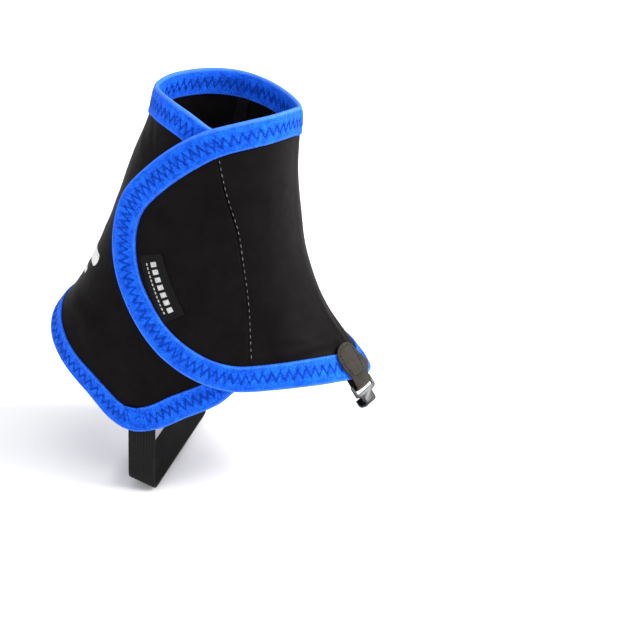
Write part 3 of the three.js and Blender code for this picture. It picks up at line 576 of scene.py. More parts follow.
class Look(Nodes):
    """A material: a shader with its sockets set, and the nodes that feed some of them."""

    def __init__(self, name, colour, roughness, **sockets):
        self.material = bpy.data.materials.new(name)
        self.material.use_nodes = True
        super().__init__(self.material.node_tree)
        self.shader = self.tree.nodes["Principled BSDF"]
        self.shader.inputs["Base Color"].default_value = (*colour, 1)
        self.shader.inputs["Roughness"].default_value = roughness
        for key, value in sockets.items():
            self.shader.inputs[key.replace("_", " ")].default_value = value
        self.relief = None

    def feed(self, socket, source):
        self.tree.links.new(source, self.shader.inputs[socket])

    def where(self):
        return self.add("TexCoord").outputs["Object"]

    def cloth_place(self):
        return self.add("Attribute", attribute_name="cloth_place").outputs["Vector"]

    def noise(self, where, scale, detail=2.0, roughness=0.5):
        settings = {"Scale": scale, "Detail": detail, "Roughness": roughness}
        return self.add("TexNoise", [("Vector", where)], **settings).outputs["Fac"]

    def loops(self, where):
        """Tiny knitted loops."""
        return self.add("TexVoronoi", [("Vector", where)], Scale=1500.0).outputs["Distance"]

    def wave(self, where, scale, direction, distortion):
        made = self.add("TexWave", [("Vector", where)], Scale=scale, Distortion=distortion)
        made.bands_direction = direction
        return made.outputs["Fac"]

    def math(self, operation, a, b):
        made = self.add("Math", operation=operation)
        for socket, value in zip(made.inputs, (a, b)):
            if isinstance(value, (int, float)):
                socket.default_value = value
            else:
                self.tree.links.new(value, socket)
        return made.outputs[0]

    def total(self, a, share_a, b, share_b):
        return self.math("ADD", self.math("MULTIPLY", a, share_a), self.math("MULTIPLY", b, share_b))

    def colour(self, value, *stops):
        self.feed("Base Color", self.ramp(value, stops))

    def rough(self, value, low, high):
        made = self.add("MapRange", [("Value", value)], To_Min=low, To_Max=high)
        self.feed("Roughness", made.outputs[0])

    def bump(self, height, strength, distance):
        """Relief, on top of what earlier calls gave."""
        made = self.add("Bump", [("Height", height)], Strength=strength, Distance=distance)
        if self.relief:
            self.tree.links.new(self.relief, made.inputs["Normal"])
        self.relief = made.outputs["Normal"]
        self.feed("Normal", self.relief)


def stretch_cloth():
    """Smooth black stretch knit over thin foam: fine loops, a faint mottle, a soft sheen."""
    look = Look(
        "stretch_cloth", (0.0038, 0.0031, 0.0035), 0.5, Sheen_Weight=0.035, Sheen_Roughness=0.3,
        Specular_IOR_Level=0.04, Sheen_Tint=(1.0, 0.93, 0.90, 1),
    )
    where = look.where()
    mottle = look.noise(where, 70, 5, 0.65)
    look.colour(mottle, (0.3, (0.0022, 0.0017, 0.0020)), (0.7, (0.0050, 0.0040, 0.0045)))
    look.rough(look.noise(where, 260, 3), 0.52, 0.72)
    look.bump(look.loops(where), 0.35, 0.00012)
    look.bump(look.noise(where, 120, 3), 0.25, 0.0006)
    return look.material


LEAF_START, LEAF_SCALE = 0.002, 60.0  # turn metres in from the edge into shares of the painted-highlight ramp


def edging_cloth():
    """Royal blue elastic: soft terry loops with fine ribs along it, with painted shade in the stitched
    pits and a painted highlight along its fold and free edge.
    """
    look = Look(
        "edging", (0.003, 0.080, 0.70), 0.78, Sheen_Weight=0.03, Sheen_Roughness=0.4,
        Specular_IOR_Level=0.08, Sheen_Tint=(0.45, 0.65, 1.0, 1),
    )
    place, where = look.cloth_place(), look.where()
    terry = look.noise(where, 1250, 3, 0.7)
    mixed = look.total(terry, 0.65, look.noise(where, 240, 3, 0.6), 0.35)
    pit = look.add("Attribute", attribute_name="pit").outputs["Fac"]
    # Painted shade: the colour is darkened where the zigzag pulls the leaf into pits.
    pit_painted_shade = look.math("SUBTRACT", mixed, look.math("MULTIPLY", pit, 0.20))
    blue = look.ramp(pit_painted_shade, [
        (0.32, (0.0008, 0.022, 0.23)), (0.46, (0.0030, 0.068, 0.56)), (0.60, (0.0100, 0.135, 0.84)),
    ])
    # Painted highlight: the ridges along the fold and along the leaf's free edge are painted paler, as
    # if catching the light.
    across = look.add("SeparateXYZ", [("Vector", place)]).outputs["Y"]
    share = look.math("MULTIPLY", look.math("ADD", across, LEAF_START), LEAF_SCALE)
    painted_ridge_highlight = look.ramp(share, [(at, (pale, pale, pale)) for at, pale in (
        (0.0, 1), (0.10, 0.8), (0.17, 0), (0.81, 0), (0.86, 0.45), (0.90, 0.1),
    )])
    paler = look.add("Mix", data_type="RGBA")
    look.tree.links.new(look.math("MULTIPLY", painted_ridge_highlight, 0.5), paler.inputs[0])
    look.tree.links.new(blue, paler.inputs[6])
    paler.inputs[7].default_value = (0.10, 0.27, 0.90, 1)
    look.feed("Base Color", paler.outputs[2])
    look.bump(look.wave(place, 480, "X", 1.2), 0.30, 0.00016)
    look.bump(terry, 0.55, 0.00035)
    return look.material


def thread_cloth(name, dark, light, twist=1500):
    look = Look(name, light, 0.7, Specular_IOR_Level=0.06)
    strand = look.noise(look.where(), twist, 2)
    look.colour(strand, (0.3, dark), (0.7, light))
    look.bump(strand, 0.5, 0.00012)
    return look.material


def webbing_cloth():
    """Black ribbed elastic webbing."""
    look = Look(
        "elastic_webbing", (0.007, 0.0065, 0.006), 0.75, Sheen_Weight=0.03, Specular_IOR_Level=0.15,
    )
    place = look.cloth_place()
    picks = look.wave(place, 330, "X", 0.4)
    cords = look.wave(place, 210, "Y", 0.2)
    both = look.math("MULTIPLY", picks, cords)
    look.colour(both, (0.05, (0.003, 0.0027, 0.0025)), (0.8, (0.010, 0.009, 0.0085)))
    look.bump(picks, 0.6, 0.0002)
    look.bump(cords, 0.5, 0.0003)
    return look.material


def suede():
    """Dark grey-brown suede with a short nap."""
    look = Look(
        "suede", (0.026, 0.0225, 0.018), 0.9, Sheen_Weight=0.06, Sheen_Roughness=0.6,
        Specular_IOR_Level=0.08,
    )
    where = look.where()
    nap = look.noise(where, 1600, 4, 0.7)
    both = look.total(nap, 0.5, look.noise(where, 180, 4, 0.6), 0.5)
    look.colour(both, (0.35, (0.013, 0.0113, 0.0090)), (0.65, (0.038, 0.0335, 0.0270)))
    look.bump(nap, 0.7, 0.0003)
    return look.material


def closure_tape():
    """Black fuzzy hook-and-loop tape."""
    look = Look(
        "closure_tape", (0.004, 0.004, 0.004), 0.85, Sheen_Weight=0.03, Specular_IOR_Level=0.06,
    )
    fuzz = look.noise(look.where(), 1900, 4, 0.8)
    look.colour(fuzz, (0.3, (0.0020, 0.0018, 0.0019)), (0.7, (0.0060, 0.0055, 0.0056)))
    look.bump(fuzz, 0.9, 0.0006)
    return look.material


def label_satin():
    """Black satin with a fine weave."""
    look = Look(
        "label_satin", (0.003, 0.003, 0.0033), 0.46, Sheen_Weight=0.01, Anisotropic=0.4,
        Specular_IOR_Level=0.07,
    )
    place = look.cloth_place()
    both = look.math("ADD", look.wave(place, 1100, "X", 0.3), look.wave(place, 1400, "Y", 0.3))
    look.colour(both, (0.4, (0.0014, 0.0014, 0.0016)), (1.0, (0.0040, 0.0040, 0.0044)))
    look.bump(both, 0.35, 0.0001)
    return look.material


def hook_metal():
    """Dark brushed steel."""
    look = Look("hook_metal", (0.045, 0.046, 0.05), 0.4, Metallic=1.0)
    where = look.where()
    stretched = look.add("Mapping", [("Vector", where)], Scale=(1, 6, 1))
    brushed = look.noise(stretched.outputs[0], 500, 4, 0.7)
    look.rough(brushed, 0.34, 0.50)
    stain = look.noise(where, 90, 4)
    look.colour(stain, (0.3, (0.038, 0.039, 0.042)), (0.7, (0.055, 0.056, 0.060)))
    look.bump(brushed, 0.15, 0.00005)
    return look.material


def print_film():
    """Pale grey print on the knit, a little worn."""
    look = Look("print_film", (0.56, 0.56, 0.57), 0.42)
    where = look.where()
    wear = look.noise(where, 420, 5, 0.7)
    look.colour(wear, (0.28, (0.44, 0.44, 0.45)), (0.6, (0.62, 0.62, 0.63)))
    look.bump(look.loops(where), 0.2, 0.0001)
    return look.material


CLOTH_LOOK = stretch_cloth()
EDGING_LOOK = edging_cloth()
BLUE_THREAD = thread_cloth("blue_thread", (0.0010, 0.034, 0.28), (0.0022, 0.062, 0.46))
BLACK_THREAD = thread_cloth("black_thread", (0.003, 0.003, 0.003), (0.010, 0.0095, 0.009))
GREY_THREAD = thread_cloth("grey_thread", (0.04, 0.037, 0.035), (0.19, 0.18, 0.175), 700)
WEBBING_LOOK = webbing_cloth()
SUEDE_LOOK = suede()
TAPE_LOOK = closure_tape()
LABEL_LOOK = label_satin()
METAL_LOOK = hook_metal()
PRINT_LOOK = print_film()
MARK_LOOK = thread_cloth("label_thread", (0.30, 0.30, 0.30), (0.55, 0.55, 0.56))


def riding(obj, body, *nodes, slot):
    """Hides the CAD nodes that a piece stands in for and ties it to the body that it moves with; its
    material slot is not used.

    On the body "fold", its transform is only baked into its mesh, and it is tied to no body.
    """
    if nodes:
        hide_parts(*nodes)
    if body == "fold":
        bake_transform(obj)
    else:
        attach(obj, body)


SEAM_OVERLAP = 0.5  # degrees by which the rear panel runs past the medial seam, so no light shows
SEAM_GAP = 0.02
FRONT_START = INNER_SEAM + SEAM_GAP


def rear_place(u, v):
    angle = mix(UNDERLAP_END, 360 + INNER_SEAM + SEAM_OVERLAP, u)
    return angle, mix(rear_hem.height(angle), rear_rim.height(angle), v)


def front_place(u, v):
    fold = seam_line.angle(mix(60.0, 197.0, v)) - SEAM_GAP
    angle = mix(FRONT_START, fold, u)
    return angle, mix(front_hem.height(angle), front_rim.height(angle), v)


FOLD_LOW, FOLD_HIGH = 59.4, 196.4


def flap_place(u, v):
    def fold(share):
        height = mix(FOLD_LOW, FOLD_HIGH, share)
        return seam_line.angle(height) + SEAM_GAP, height

    low_end, high_end = fold(0.0), fold(1.0)
    low_far, high_far = flap_back.at(0.0), flap_back.at(1.0)
    low_angle = mix(low_end[0], low_far[0], u)
    high_angle = mix(high_end[0], high_far[0], u)
    near, far = fold(v), flap_back.at(v)
    spot = []
    for k, (low, high) in enumerate((
        (low_angle, high_angle), (flap_bottom.height(low_angle), flap_top.height(high_angle)),
    )):
        corner = mix(mix(low_end[k], low_far[k], u), mix(high_end[k], high_far[k], u), v)
        spot.append(mix(low, high, v) + mix(near[k], far[k], u) - corner)
    return spot[0], spot[1]


def panel(name, node, body, where, size, rise, counts, radius, crowd=0.0):
    cloth = patch(name, where, size, CLOTH, -CLOTH / 2, rise, CLOTH_LOOK, counts, radius, crowd)
    riding(cloth, body, node, slot="stretch_cloth")
    return cloth


rear_cloth = panel(
    "rear_panel_cloth", "rear_panel", "gaiter", rear_place, (250, 140), no_lift, (230, 90), 0.7, 0.4,
)
front_cloth = panel(
    "front_panel_cloth", "front_panel", "fold", front_place, (150, 138), lift, (150, 110), 0.14, 0.4,
)
flap_cloth = panel(
    "closure_flap_cloth", "closure_flap", "fold", flap_place, (70, 120), lift, (70, 110), 0.14,
)

# ---- Edging ----
def along_edge(edge, low, high, count=200):
    angle = np.linspace(low, high, count)
    return np.stack([angle, edge.height(angle)], -1)


PATH_STEP = 0.5


def smoothed(path, reach):
    """The same path with its kinks rounded off over a few millimetres; its ends stay."""
    run = run_along(on_surface(*path.T))
    even = np.arange(0, run[-1], PATH_STEP)
    even[-1] = run[-1]
    path = at_run(even, run, path)
    width = int(reach / PATH_STEP)
    kernel = np.hanning(2 * width + 3)[1:-1]
    kernel /= kernel.sum()
    filled = np.vstack([2 * path[0] - path[width:0:-1], path, 2 * path[-1] - path[-2:-width - 2:-1]])
    return np.stack([np.convolve(column, kernel, "valid") for column in filled.T], -1)


outer_band = Band(smoothed(np.vstack([
    along_edge(front_rim, FRONT_START, 75.5),
    along_edge(flap_top, 76.5, 117.1),
    flap_back.dense[::-1][3:-3],
    along_edge(flap_bottom, 94.5, 66.5),
    along_edge(front_hem, 65.5, FRONT_START),
]), 15), 1, lift)
REAR_END = 360 + INNER_SEAM - SEAM_GAP
rear_rim_band = Band(smoothed(along_edge(rear_rim, UNDERLAP_END, REAR_END), 3), 1, no_lift)
rear_hem_band = Band(smoothed(along_edge(rear_hem, UNDERLAP_END, REAR_END, 400), 3), -1, no_lift)

fold_top_run = outer_band.run_at(float(seam_line.angle(FOLD_HIGH)), 0)
fold_low_run = outer_band.run_at(float(seam_line.angle(FOLD_LOW)), 1)

for node, band, start, end, body in (
    ("front_rim_binding", outer_band, 0.0, fold_top_run, "fold"),
    ("flap_binding", outer_band, fold_top_run, fold_low_run, "fold"),
    ("front_hem_binding", outer_band, fold_low_run, outer_band.length, "fold"),
    ("rear_rim_binding", rear_rim_band, 0.0, rear_rim_band.length, "gaiter"),
    ("rear_hem_binding", rear_hem_band, 0.0, rear_hem_band.length, "gaiter"),
):
    riding(edging(node + "_elastic", band, start, end), body, node, slot="edging")
    for side in ("outside", "inside"):
        stitching = zigzag(f"{node}_zigzag_{side}", band, start, end, side == "outside")
        riding(stitching, body, slot="edging")

UNDERLAP_CLEAR = 15  # between the underlap's edging and the rim's and hem's
underlap_heights = np.linspace(
    float(rear_hem.height(UNDERLAP_END)) + UNDERLAP_CLEAR,
    float(rear_rim.height(UNDERLAP_END)) - UNDERLAP_CLEAR, 120,
)
underlap_path = np.stack([np.full(120, float(UNDERLAP_END)), underlap_heights], -1)
underlap_band = Band(underlap_path, 1, no_lift)
underlap_tape = edging("underlap_binding_elastic", underlap_band, 0.0, underlap_band.length, 6.0)
riding(underlap_tape, "gaiter", "underlap_binding", slot="edging")


# ---- Patches, label, seam and print ----
def corners_place(corners):
    (a0, h0), (a1, h1), (a2, h2), (a3, h3) = corners

    def where(u, v):
        return (
            mix(mix(a0, a1, u), mix(a3, a2, u), v),
            mix(mix(h0, h1, u), mix(h3, h2, u), v),
        )
    return where


LOOP_AREA = [(82, 92), (104, 110), (120, 142), (98, 166)]
HOOK_AREA = [(88, 90), (101, 105), (114, 133), (102, 156)]
TAPE_AREA = [
    (INNER_SEAM - 5, 54.0), (INNER_SEAM + 5, 61.0), (INNER_SEAM + 5, 187.5), (INNER_SEAM - 5, 187.5),
]


def tape_patch(name, node, body, corners, **settings):
    made = patch(name, corners_place(corners), material=TAPE_LOOK, **settings)
    riding(made, body, node, slot="closure_tape")


tape_patch(
    "loop_patch_pile", "loop_patch", "gaiter", LOOP_AREA, size=(32, 66), thickness=1.3, offset=0.6,
    rise=no_lift, counts=(40, 70), radius=0.5,
    wave=lambda u, v: 0.12 * np.sin(u * 55) * np.sin(v * 97),
)
tape_patch(
    "hook_patch_tape", "hook_patch", "flap", HOOK_AREA, size=(24, 58), thickness=1.1,
    offset=-CLOTH - 0.5, rise=lift, counts=(30, 60), radius=0.4,
)
tape_patch(
    "medial_seam_tape_knit", "medial_seam_tape", "gaiter", TAPE_AREA, size=(10, 124), thickness=0.9,
    offset=-CLOTH - 0.45, rise=no_lift, counts=(12, 100), radius=0.3,
)


def line_stitches(name, spots, offset, rise, length, gap, material):
    """Straight stitches along a line of [angle, height] spots."""
    spots = np.asarray(spots, float)
    run = run_along(on_surface(*spots.T))
    starts = np.arange(gap / 2, run[-1] - length, length + gap)
    side = 1 if offset > -0.5 else -1

    def surface(angle, height, up):
        return leg(angle, height, rise(angle) + offset + up * side)

    starts, ends = at_run(starts, run, spots), at_run(starts + length, run, spots)
    return threads(name, starts, ends, surface, THREAD, THREAD_ARCH, material, sink=0.08)


seam_heights = np.linspace(75.5, 181, 160)
seam_spots = np.stack([seam_line.angle(seam_heights) - 1.1, seam_heights], -1)
seam_stitches = line_stitches("seam_thread_stitches", seam_spots, 0.0, lift, 1.8, 1.7, GREY_THREAD)
riding(seam_stitches, "fold", "seam_thread", slot="seam_thread")


def medial_ladder(name, low, high, width, offset, sign, step=2.2):
    """Overlocked zigzag across the medial seam."""
    levels = np.arange(low, high, step)
    starts = np.stack([0 * levels + INNER_SEAM - width / 2, levels], -1)
    ends = np.stack([0 * levels + INNER_SEAM + width / 2, levels + step * 0.5], -1)

    def surface(angle, height, up):
        return leg(angle, height, no_lift(angle) + offset + sign * up)

    starts, ends = np.vstack([starts, ends]), np.vstack([ends, starts + (0, step)])
    made = threads(name, starts, ends, surface, radius=0.19, arch=0.2, material=BLACK_THREAD)
    riding(made, "gaiter", slot="stretch_cloth")


medial_ladder("medial_seam_flatlock", 57.8, 184, 3.6, 0.0, 1)
medial_ladder("medial_seam_coverstitch", 62, 182, 5.5, -CLOTH - 0.9, -1)


def outline(corners, inset, count=40):
    """Points round a four-cornered patch, a share of its sides in from the rim."""
    where = corners_place(corners)
    a, b = inset
    t = np.linspace(0, 1, count)
    u = np.concatenate([mix(a, 1 - a, t), np.full(count, 1 - a), mix(1 - a, a, t), np.full(count, a)])
    v = np.concatenate([np.full(count, b), mix(b, 1 - b, t), np.full(count, 1 - b), mix(1 - b, b, t)])
    return np.stack(where(u, v), -1)


def patch_stitches(name, body, area, inset, offset, rise):
    made = line_stitches(name, outline(area, inset), offset, rise, 2.4, 0.7, BLACK_THREAD)
    riding(made, body, slot="closure_tape")


patch_stitches("loop_patch_stitches", "gaiter", LOOP_AREA, (0.05, 0.03), 1.22, no_lift)
patch_stitches("hook_patch_stitches", "flap", HOOK_AREA, (0.06, 0.03), -CLOTH - 1.05, lift)

LABEL_SIZE = (10.5, 34)
label_where = corners_place([(93.4, 93.2), (84.6, 99.4), (99.6, 129.4), (111.4, 125.6)])


def label_wave(u, v):
    curl = 0.28 * smoothstep(u, 0.45, 1.0) * (0.6 + 0.4 * np.cos(5 * v))
    return curl + 0.05 * np.sin(9 * v + 3 * u)


label = patch(
    "woven_label_satin", label_where, LABEL_SIZE, thickness=0.42, offset=0.34, rise=lift,
    material=LABEL_LOOK, counts=(26, 60), radius=0.2, wave=label_wave,
)
riding(label, "flap", "woven_label", slot="label_satin")


def label_marks(name, boxes):
    """Raised marks woven into the label, each a small closed sheet: (u0, u1, v0, v1) shares of it."""
    points, faces = [], []
    for u0, u1, v0, v1 in boxes:
        size = LABEL_SIZE[0] * (u1 - u0), LABEL_SIZE[1] * (v1 - v0)
        u, v, share = sheet_grid(size, 0.08, (3, 4))
        u, v = mix(u0, u1, u), mix(v0, v1, v)
        angle, height = label_where(u, v)
        middle = leg(angle, height, lift(angle) + 0.57 + label_wave(u, v))
        more_points, more_faces = closed_sheet(middle, 0.1 * share, surface_frame(angle, height)[2])
        faces += (more_faces + sum(map(len, points))).tolist()
        points.append(more_points)
    riding(add_object(name, np.vstack(points), faces, MARK_LOOK), "flap", slot="label_satin")


BLOCK_STEP, DASH_STEP = 0.118, 0.061
label_marks("label_mark_blocks", [
    (0.40, 0.64, 0.10 + i * BLOCK_STEP, 0.10 + i * BLOCK_STEP + 0.074) for i in range(7)
])
label_marks("label_mark_line", [
    (0.21, 0.26, 0.11 + i * DASH_STEP, 0.11 + i * DASH_STEP + 0.036) for i in range(13)
])

PRINT_CENTRE = 180.0
FILM_OUT, FILM_HALF = 0.1, 0.08  # the print film's middle above the cloth, and half its thickness


def print_place(sideways, height):
    around, _, _ = surface_frame(np.full(np.shape(height), PRINT_CENTRE), height)
    return PRINT_CENTRE + sideways / np.linalg.norm(around, axis=-1), height


def print_bar(name, node, width, low, high):
    def where(u, v):
        # The bar's ends are round.
        size = (high - low) / 2
        inset = size * (1 - np.sqrt(np.clip(1 - (2 * v - 1) ** 2 * 0.94, 0, 1)))
        return print_place((u - 0.5) * (width - 2 * inset), mix(low, high, v))

    made = patch(
        name, where, (width, high - low), 2 * FILM_HALF, FILM_OUT, no_lift, PRINT_LOOK,
        counts=(70, 14), radius=FILM_HALF,
    )
    riding(made, "gaiter", node, slot="print_film")


def print_ring(name, node, centre, outer, inner):
    steps, across = 96, 7
    turn = np.linspace(0, 2 * math.pi, steps, endpoint=False)
    share = np.array([0, 0.02, 0.06, 0.5, 0.94, 0.98, 1.0])
    thick = np.array([0, 0.7, 1, 1, 1, 0.7, 0])
    radius = mix(inner, outer, share)
    angle, height = print_place(
        radius[None, :] * np.cos(turn)[:, None], centre + radius[None, :] * np.sin(turn)[:, None],
    )
    top = leg(angle, height, FILM_OUT + thick[None, :] * FILM_HALF)
    low = leg(angle, height, FILM_OUT - thick[None, :] * FILM_HALF)
    points = np.concatenate([top.reshape(-1, 3), low.reshape(-1, 3)])
    index = np.arange(steps * across).reshape(steps, across)
    under = index + steps * across
    under[:, 0], under[:, -1] = index[:, 0], index[:, -1]
    turned, turned_under = np.roll(index, -1, axis=0), np.roll(under, -1, axis=0)
    faces = np.vstack([
        quads(index[:, :-1], turned[:, :-1], turned[:, 1:], index[:, 1:]),
        quads(under[:, :-1], under[:, 1:], turned_under[:, 1:], turned_under[:, :-1]),
    ])
    made = add_object(name, points, faces.tolist(), PRINT_LOOK)
    tidy_mesh(made)
    riding(made, "gaiter", node, slot="print_film")


def tidy_mesh(obj):
    """Drops points that no face uses, and turns all faces outwards."""
    work = bmesh.new()
    work.from_mesh(obj.data)
    loose = [v for v in work.verts if not v.link_faces]
    bmesh.ops.delete(work, geom=loose, context="VERTS")
    bmesh.ops.recalc_face_normals(work, faces=work.faces)
    work.to_mesh(obj.data)
    work.free()


print_ring("back_print_ring_film", "back_print_ring", 131, 12, 8.4)
print_bar("back_print_bar_film", "back_print_bar", 52, 106, 113)
print_bar("back_print_line_film", "back_print_line", 34, 98, 101)

# ---- Strap under the shoe ----
STRAP_WIDTH = 15.0
STRAP_TOP = 51.0
STRAP_TOP_HALF = 44.9
STRAP_BOTTOM_HALF = 45.4
STRAP_CORNER = 4.5
STRAP_THICKNESS = 1.5
STRAP_DROP = math.tan(math.radians(17))
STRAP_RIBS, RIB_DEPTH, STRAP_WAIST = 9, 0.12, 0.03


def strap_line():
    """The strap's middle line in the YZ plane, from the outer side under the shoe to the inner."""
    half = STRAP_THICKNESS / 2
    radius = STRAP_CORNER - half
    turn = np.radians(np.linspace(180, 270, 14))
    centre_y, centre_z = STRAP_BOTTOM_HALF - STRAP_CORNER, STRAP_CORNER - STRAP_THICKNESS
    corner = np.stack([-centre_y + radius * np.cos(turn), centre_z + radius * np.sin(turn)], -1)
    side = np.vstack([[(-(STRAP_TOP_HALF - half), STRAP_TOP)], corner])
    return np.vstack([side, side[::-1] * (-1, 1)])


def strap():
    line = strap_line()
    run = run_along(line)
    us, fu = rounded_steps(run[-1], 0.7, 230)
    vs, fv = rounded_steps(STRAP_WIDTH, 0.7, 40)
    u, v = np.meshgrid(us, vs, indexing="ij")
    s = u * run[-1]
    y, z = np.interp(s, run, line[:, 0]), np.interp(s, run, line[:, 1])
    smooth = np.hanning(9) / np.hanning(9).sum()
    for values in (y, z):
        values[4:-4] = np.apply_along_axis(lambda c: np.convolve(c, smooth, "valid"), 0, values)
    x = (v - 0.5) * STRAP_WIDTH
    waist = 1 - STRAP_WAIST * np.sin(math.pi * u) ** 2
    middle = np.stack([x * waist, y, z - x * STRAP_DROP - LEG_LEVEL], -1)
    ribs = 1 + RIB_DEPTH * np.cos(2 * math.pi * v * STRAP_RIBS)
    ribs = np.where(fv[None, :] < 1, 1, ribs)
    thick = STRAP_THICKNESS * np.minimum(fu[:, None], fv[None, :]) * ribs
    place = np.stack([s, v * STRAP_WIDTH, 0 * s], -1)
    return shell("sole_strap_webbing", middle, thick, WEBBING_LOOK, place)


riding(strap(), "strap", "sole_strap", slot="elastic_webbing")

# The stitched patches that hold the strap's ends, with a crossed box of stitches.
for side, centre in (("lateral", 109.0), ("medial", 251.0)):
    left, right, low, high = centre - 3.6, centre + 3.6, 31, 42.5
    corners = [(left, low), (right, low), (right, high), (left, high)]
    anchor = patch(
        f"strap_anchor_{side}_patch", corners_place(corners), size=(14, 12), thickness=0.8,
        offset=LEAF_OUT + 0.25, rise=no_lift, material=EDGING_LOOK, counts=(28, 28), radius=0.4,
        wave=lambda u, v: 0.15 * np.sin(math.pi * u) * np.sin(math.pi * v),
    )
    riding(anchor, "gaiter", f"strap_anchor_{side}", slot="edging")
    rising = np.linspace(0.12, 0.88, 12)
    box = np.vstack([outline(corners, (0.12, 0.12), 12)] + [
        np.stack(corners_place(corners)(across, rising), -1)
        for across in (rising, np.linspace(0.88, 0.12, 12))
    ])
    stitching = line_stitches(
        f"strap_anchor_{side}_stitches", box, LEAF_OUT + 0.72, no_lift, 1.7, 0.5, BLUE_THREAD,
    )
    riding(stitching, "gaiter", slot="edging")

# ---- Lace tab and hook ----
TAB_ANGLE = 16.0
TAB_TURN = math.radians(16.0)
tab_height = float(front_hem.height(TAB_ANGLE))
tab_a, tab_b = (on_surface(TAB_ANGLE + d, float(front_hem.height(TAB_ANGLE + d))) for d in (1, -1))
tab_along = unit(tab_a - tab_b)
_, _, tab_out = surface_frame(TAB_ANGLE, tab_height)
tab_along = tab_along * math.cos(TAB_TURN) + np.cross(tab_out, tab_along) * math.sin(TAB_TURN)
tab_up = unit(np.cross(tab_along, tab_out))
# As in the CAD: the clearance, a leaf of the edging, the hook's bar, half the tab's width at its fold.
GAP, LEAF, BAR, HALF_FOLD = 0.45, 0.7, 1.6, 5.5
BAR_CENTRE = -GAP - LEAF - GAP - BAR / 2 - HALF_FOLD * math.tan(TAB_TURN)
FOLD_INSIDE = BAR_CENTRE - BAR / 2 - 2 * GAP
TAB_THICKNESS = 0.9
TAB_OUTER = 2 * GAP + LEAF + TAB_THICKNESS / 2
TAB_INNER = -CLOTH - 2 * GAP - LEAF - TAB_THICKNESS / 2


def tab_point(up, out, sideways):
    full = up.shape
    spot = go_along(
        np.full(full, TAB_ANGLE), np.full(full, tab_height), np.broadcast_to(tab_up, full + (3,)), up,
    )
    angle, height = go_along(*spot, np.broadcast_to(tab_along, full + (3,)), sideways)
    return leg(angle, height, lift(angle) + out)


OUTER_TOP, INNER_TOP = 18.5, 12.0  # how far up the two leaves reach from the hem
OUTER_STATIONS = 44


def tab_strip():
    """The strip's middle line as (up, out): outer leaf, round fold, inner leaf."""
    centre_out = (TAB_OUTER + TAB_INNER) / 2
    radius = (TAB_OUTER - TAB_INNER) / 2
    turn = np.radians(np.linspace(0, 180, 19))
    fold_up = FOLD_INSIDE + 0.9 - (0.9 + TAB_THICKNESS / 2) * np.sin(turn)
    fold = np.stack([fold_up, centre_out + radius * np.cos(turn)], -1)
    low = FOLD_INSIDE + 1.0
    ups = np.linspace(OUTER_TOP, low, OUTER_STATIONS)
    outer = np.stack([ups, np.full(OUTER_STATIONS, TAB_OUTER)], -1)
    inner = np.stack([np.linspace(low, INNER_TOP, 24), np.full(24, TAB_INNER)], -1)
    return np.vstack([outer, fold[1:-1], inner])


EAR_WIDTH = 7.5
EAR_HEIGHT = 1.5
LOW_HALF, HIGH_HALF = 5.6, 7.0  # half the tab's width at the hem and above it
ROUND_FROM, ROUND_OVER = 12.1, 6.4  # where the outer leaf's round end starts, and its length


def tab_ear(up):
    """How much wider the tab is on its toe side: a soft corner low on the hem."""
    above, below = np.maximum(up - EAR_HEIGHT, 0), np.minimum(up - EAR_HEIGHT, 0)
    return EAR_WIDTH * np.exp(-((above / 6.0) ** 1.4)) * np.exp(-((below / 2.2) ** 2))


def tab_half(up, outer_leaf):
    half = mix(LOW_HALF, HIGH_HALF, smoothstep(up, 0, 9))
    rounding = np.sqrt(np.clip(1 - np.clip((up - ROUND_FROM) / ROUND_OVER, 0, 1) ** 2.2, 0.0, 1))
    return np.where(outer_leaf, half * np.maximum(rounding, 0.02), half)


def lace_tab():
    line = tab_strip()
    run = run_along(line)
    u, v, share = sheet_grid((run[-1], 13.6), 0.45, (110, 26))
    s = u * run[-1]
    up, out = np.interp(s, run, line[:, 0]), np.interp(s, run, line[:, 1])
    outer_leaf = s < run[OUTER_STATIONS - 1]
    half = tab_half(up, outer_leaf)
    ear = np.where(outer_leaf, tab_ear(up), 0)
    sideways = v * half - (1 - v) * (half + ear)
    puffed = 0.18 * np.sin(math.pi * v) * outer_leaf
    middle = tab_point(up, out + puffed, sideways)
    place = np.stack([s, sideways, 0 * s], -1)
    return shell("lace_tab_suede", middle, TAB_THICKNESS * share, SUEDE_LOOK, place)


def tab_stitches():
    """Stitching round the outer leaf, 1.6 mm in from its sides, and across above the fold."""
    low, high = 1.0, 16.8
    ups = np.linspace(low, 16.6, 60)
    half = tab_half(ups, np.ones(60, bool)) - 1.6
    rim = np.vstack([
        np.stack([ups, -half], -1),
        np.stack([np.full(8, high), np.linspace(-half[-1], half[-1], 8)], -1),
        np.stack([ups[::-1], half[::-1]], -1),
        np.stack([np.full(8, low), np.linspace(half[0], -half[0], 8)], -1),
    ])
    run = run_along(rim)
    length, gap = 1.7, 0.45
    starts = np.arange(0.2, run[-1] - length, length + gap)

    def surface(up, sideways, rise):
        return tab_point(up, TAB_OUTER + TAB_THICKNESS / 2 + 0.16 + rise, sideways)

    starts, ends = at_run(starts, run, rim), at_run(starts + length, run, rim)
    return threads("lace_tab_stitches", starts, ends, surface, THREAD, THREAD_ARCH, BLACK_THREAD)


tab_piece = lace_tab()
tidy_mesh(tab_piece)
riding(tab_piece, "gaiter", "lace_tab", slot="suede")
riding(tab_stitches(), "gaiter", slot="suede")

hook_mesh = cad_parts["lace_hook"].data.copy()
hook_mesh.materials.clear()
hook_mesh.materials.append(METAL_LOOK)
hook = linked("lace_hook_steel", hook_mesh)


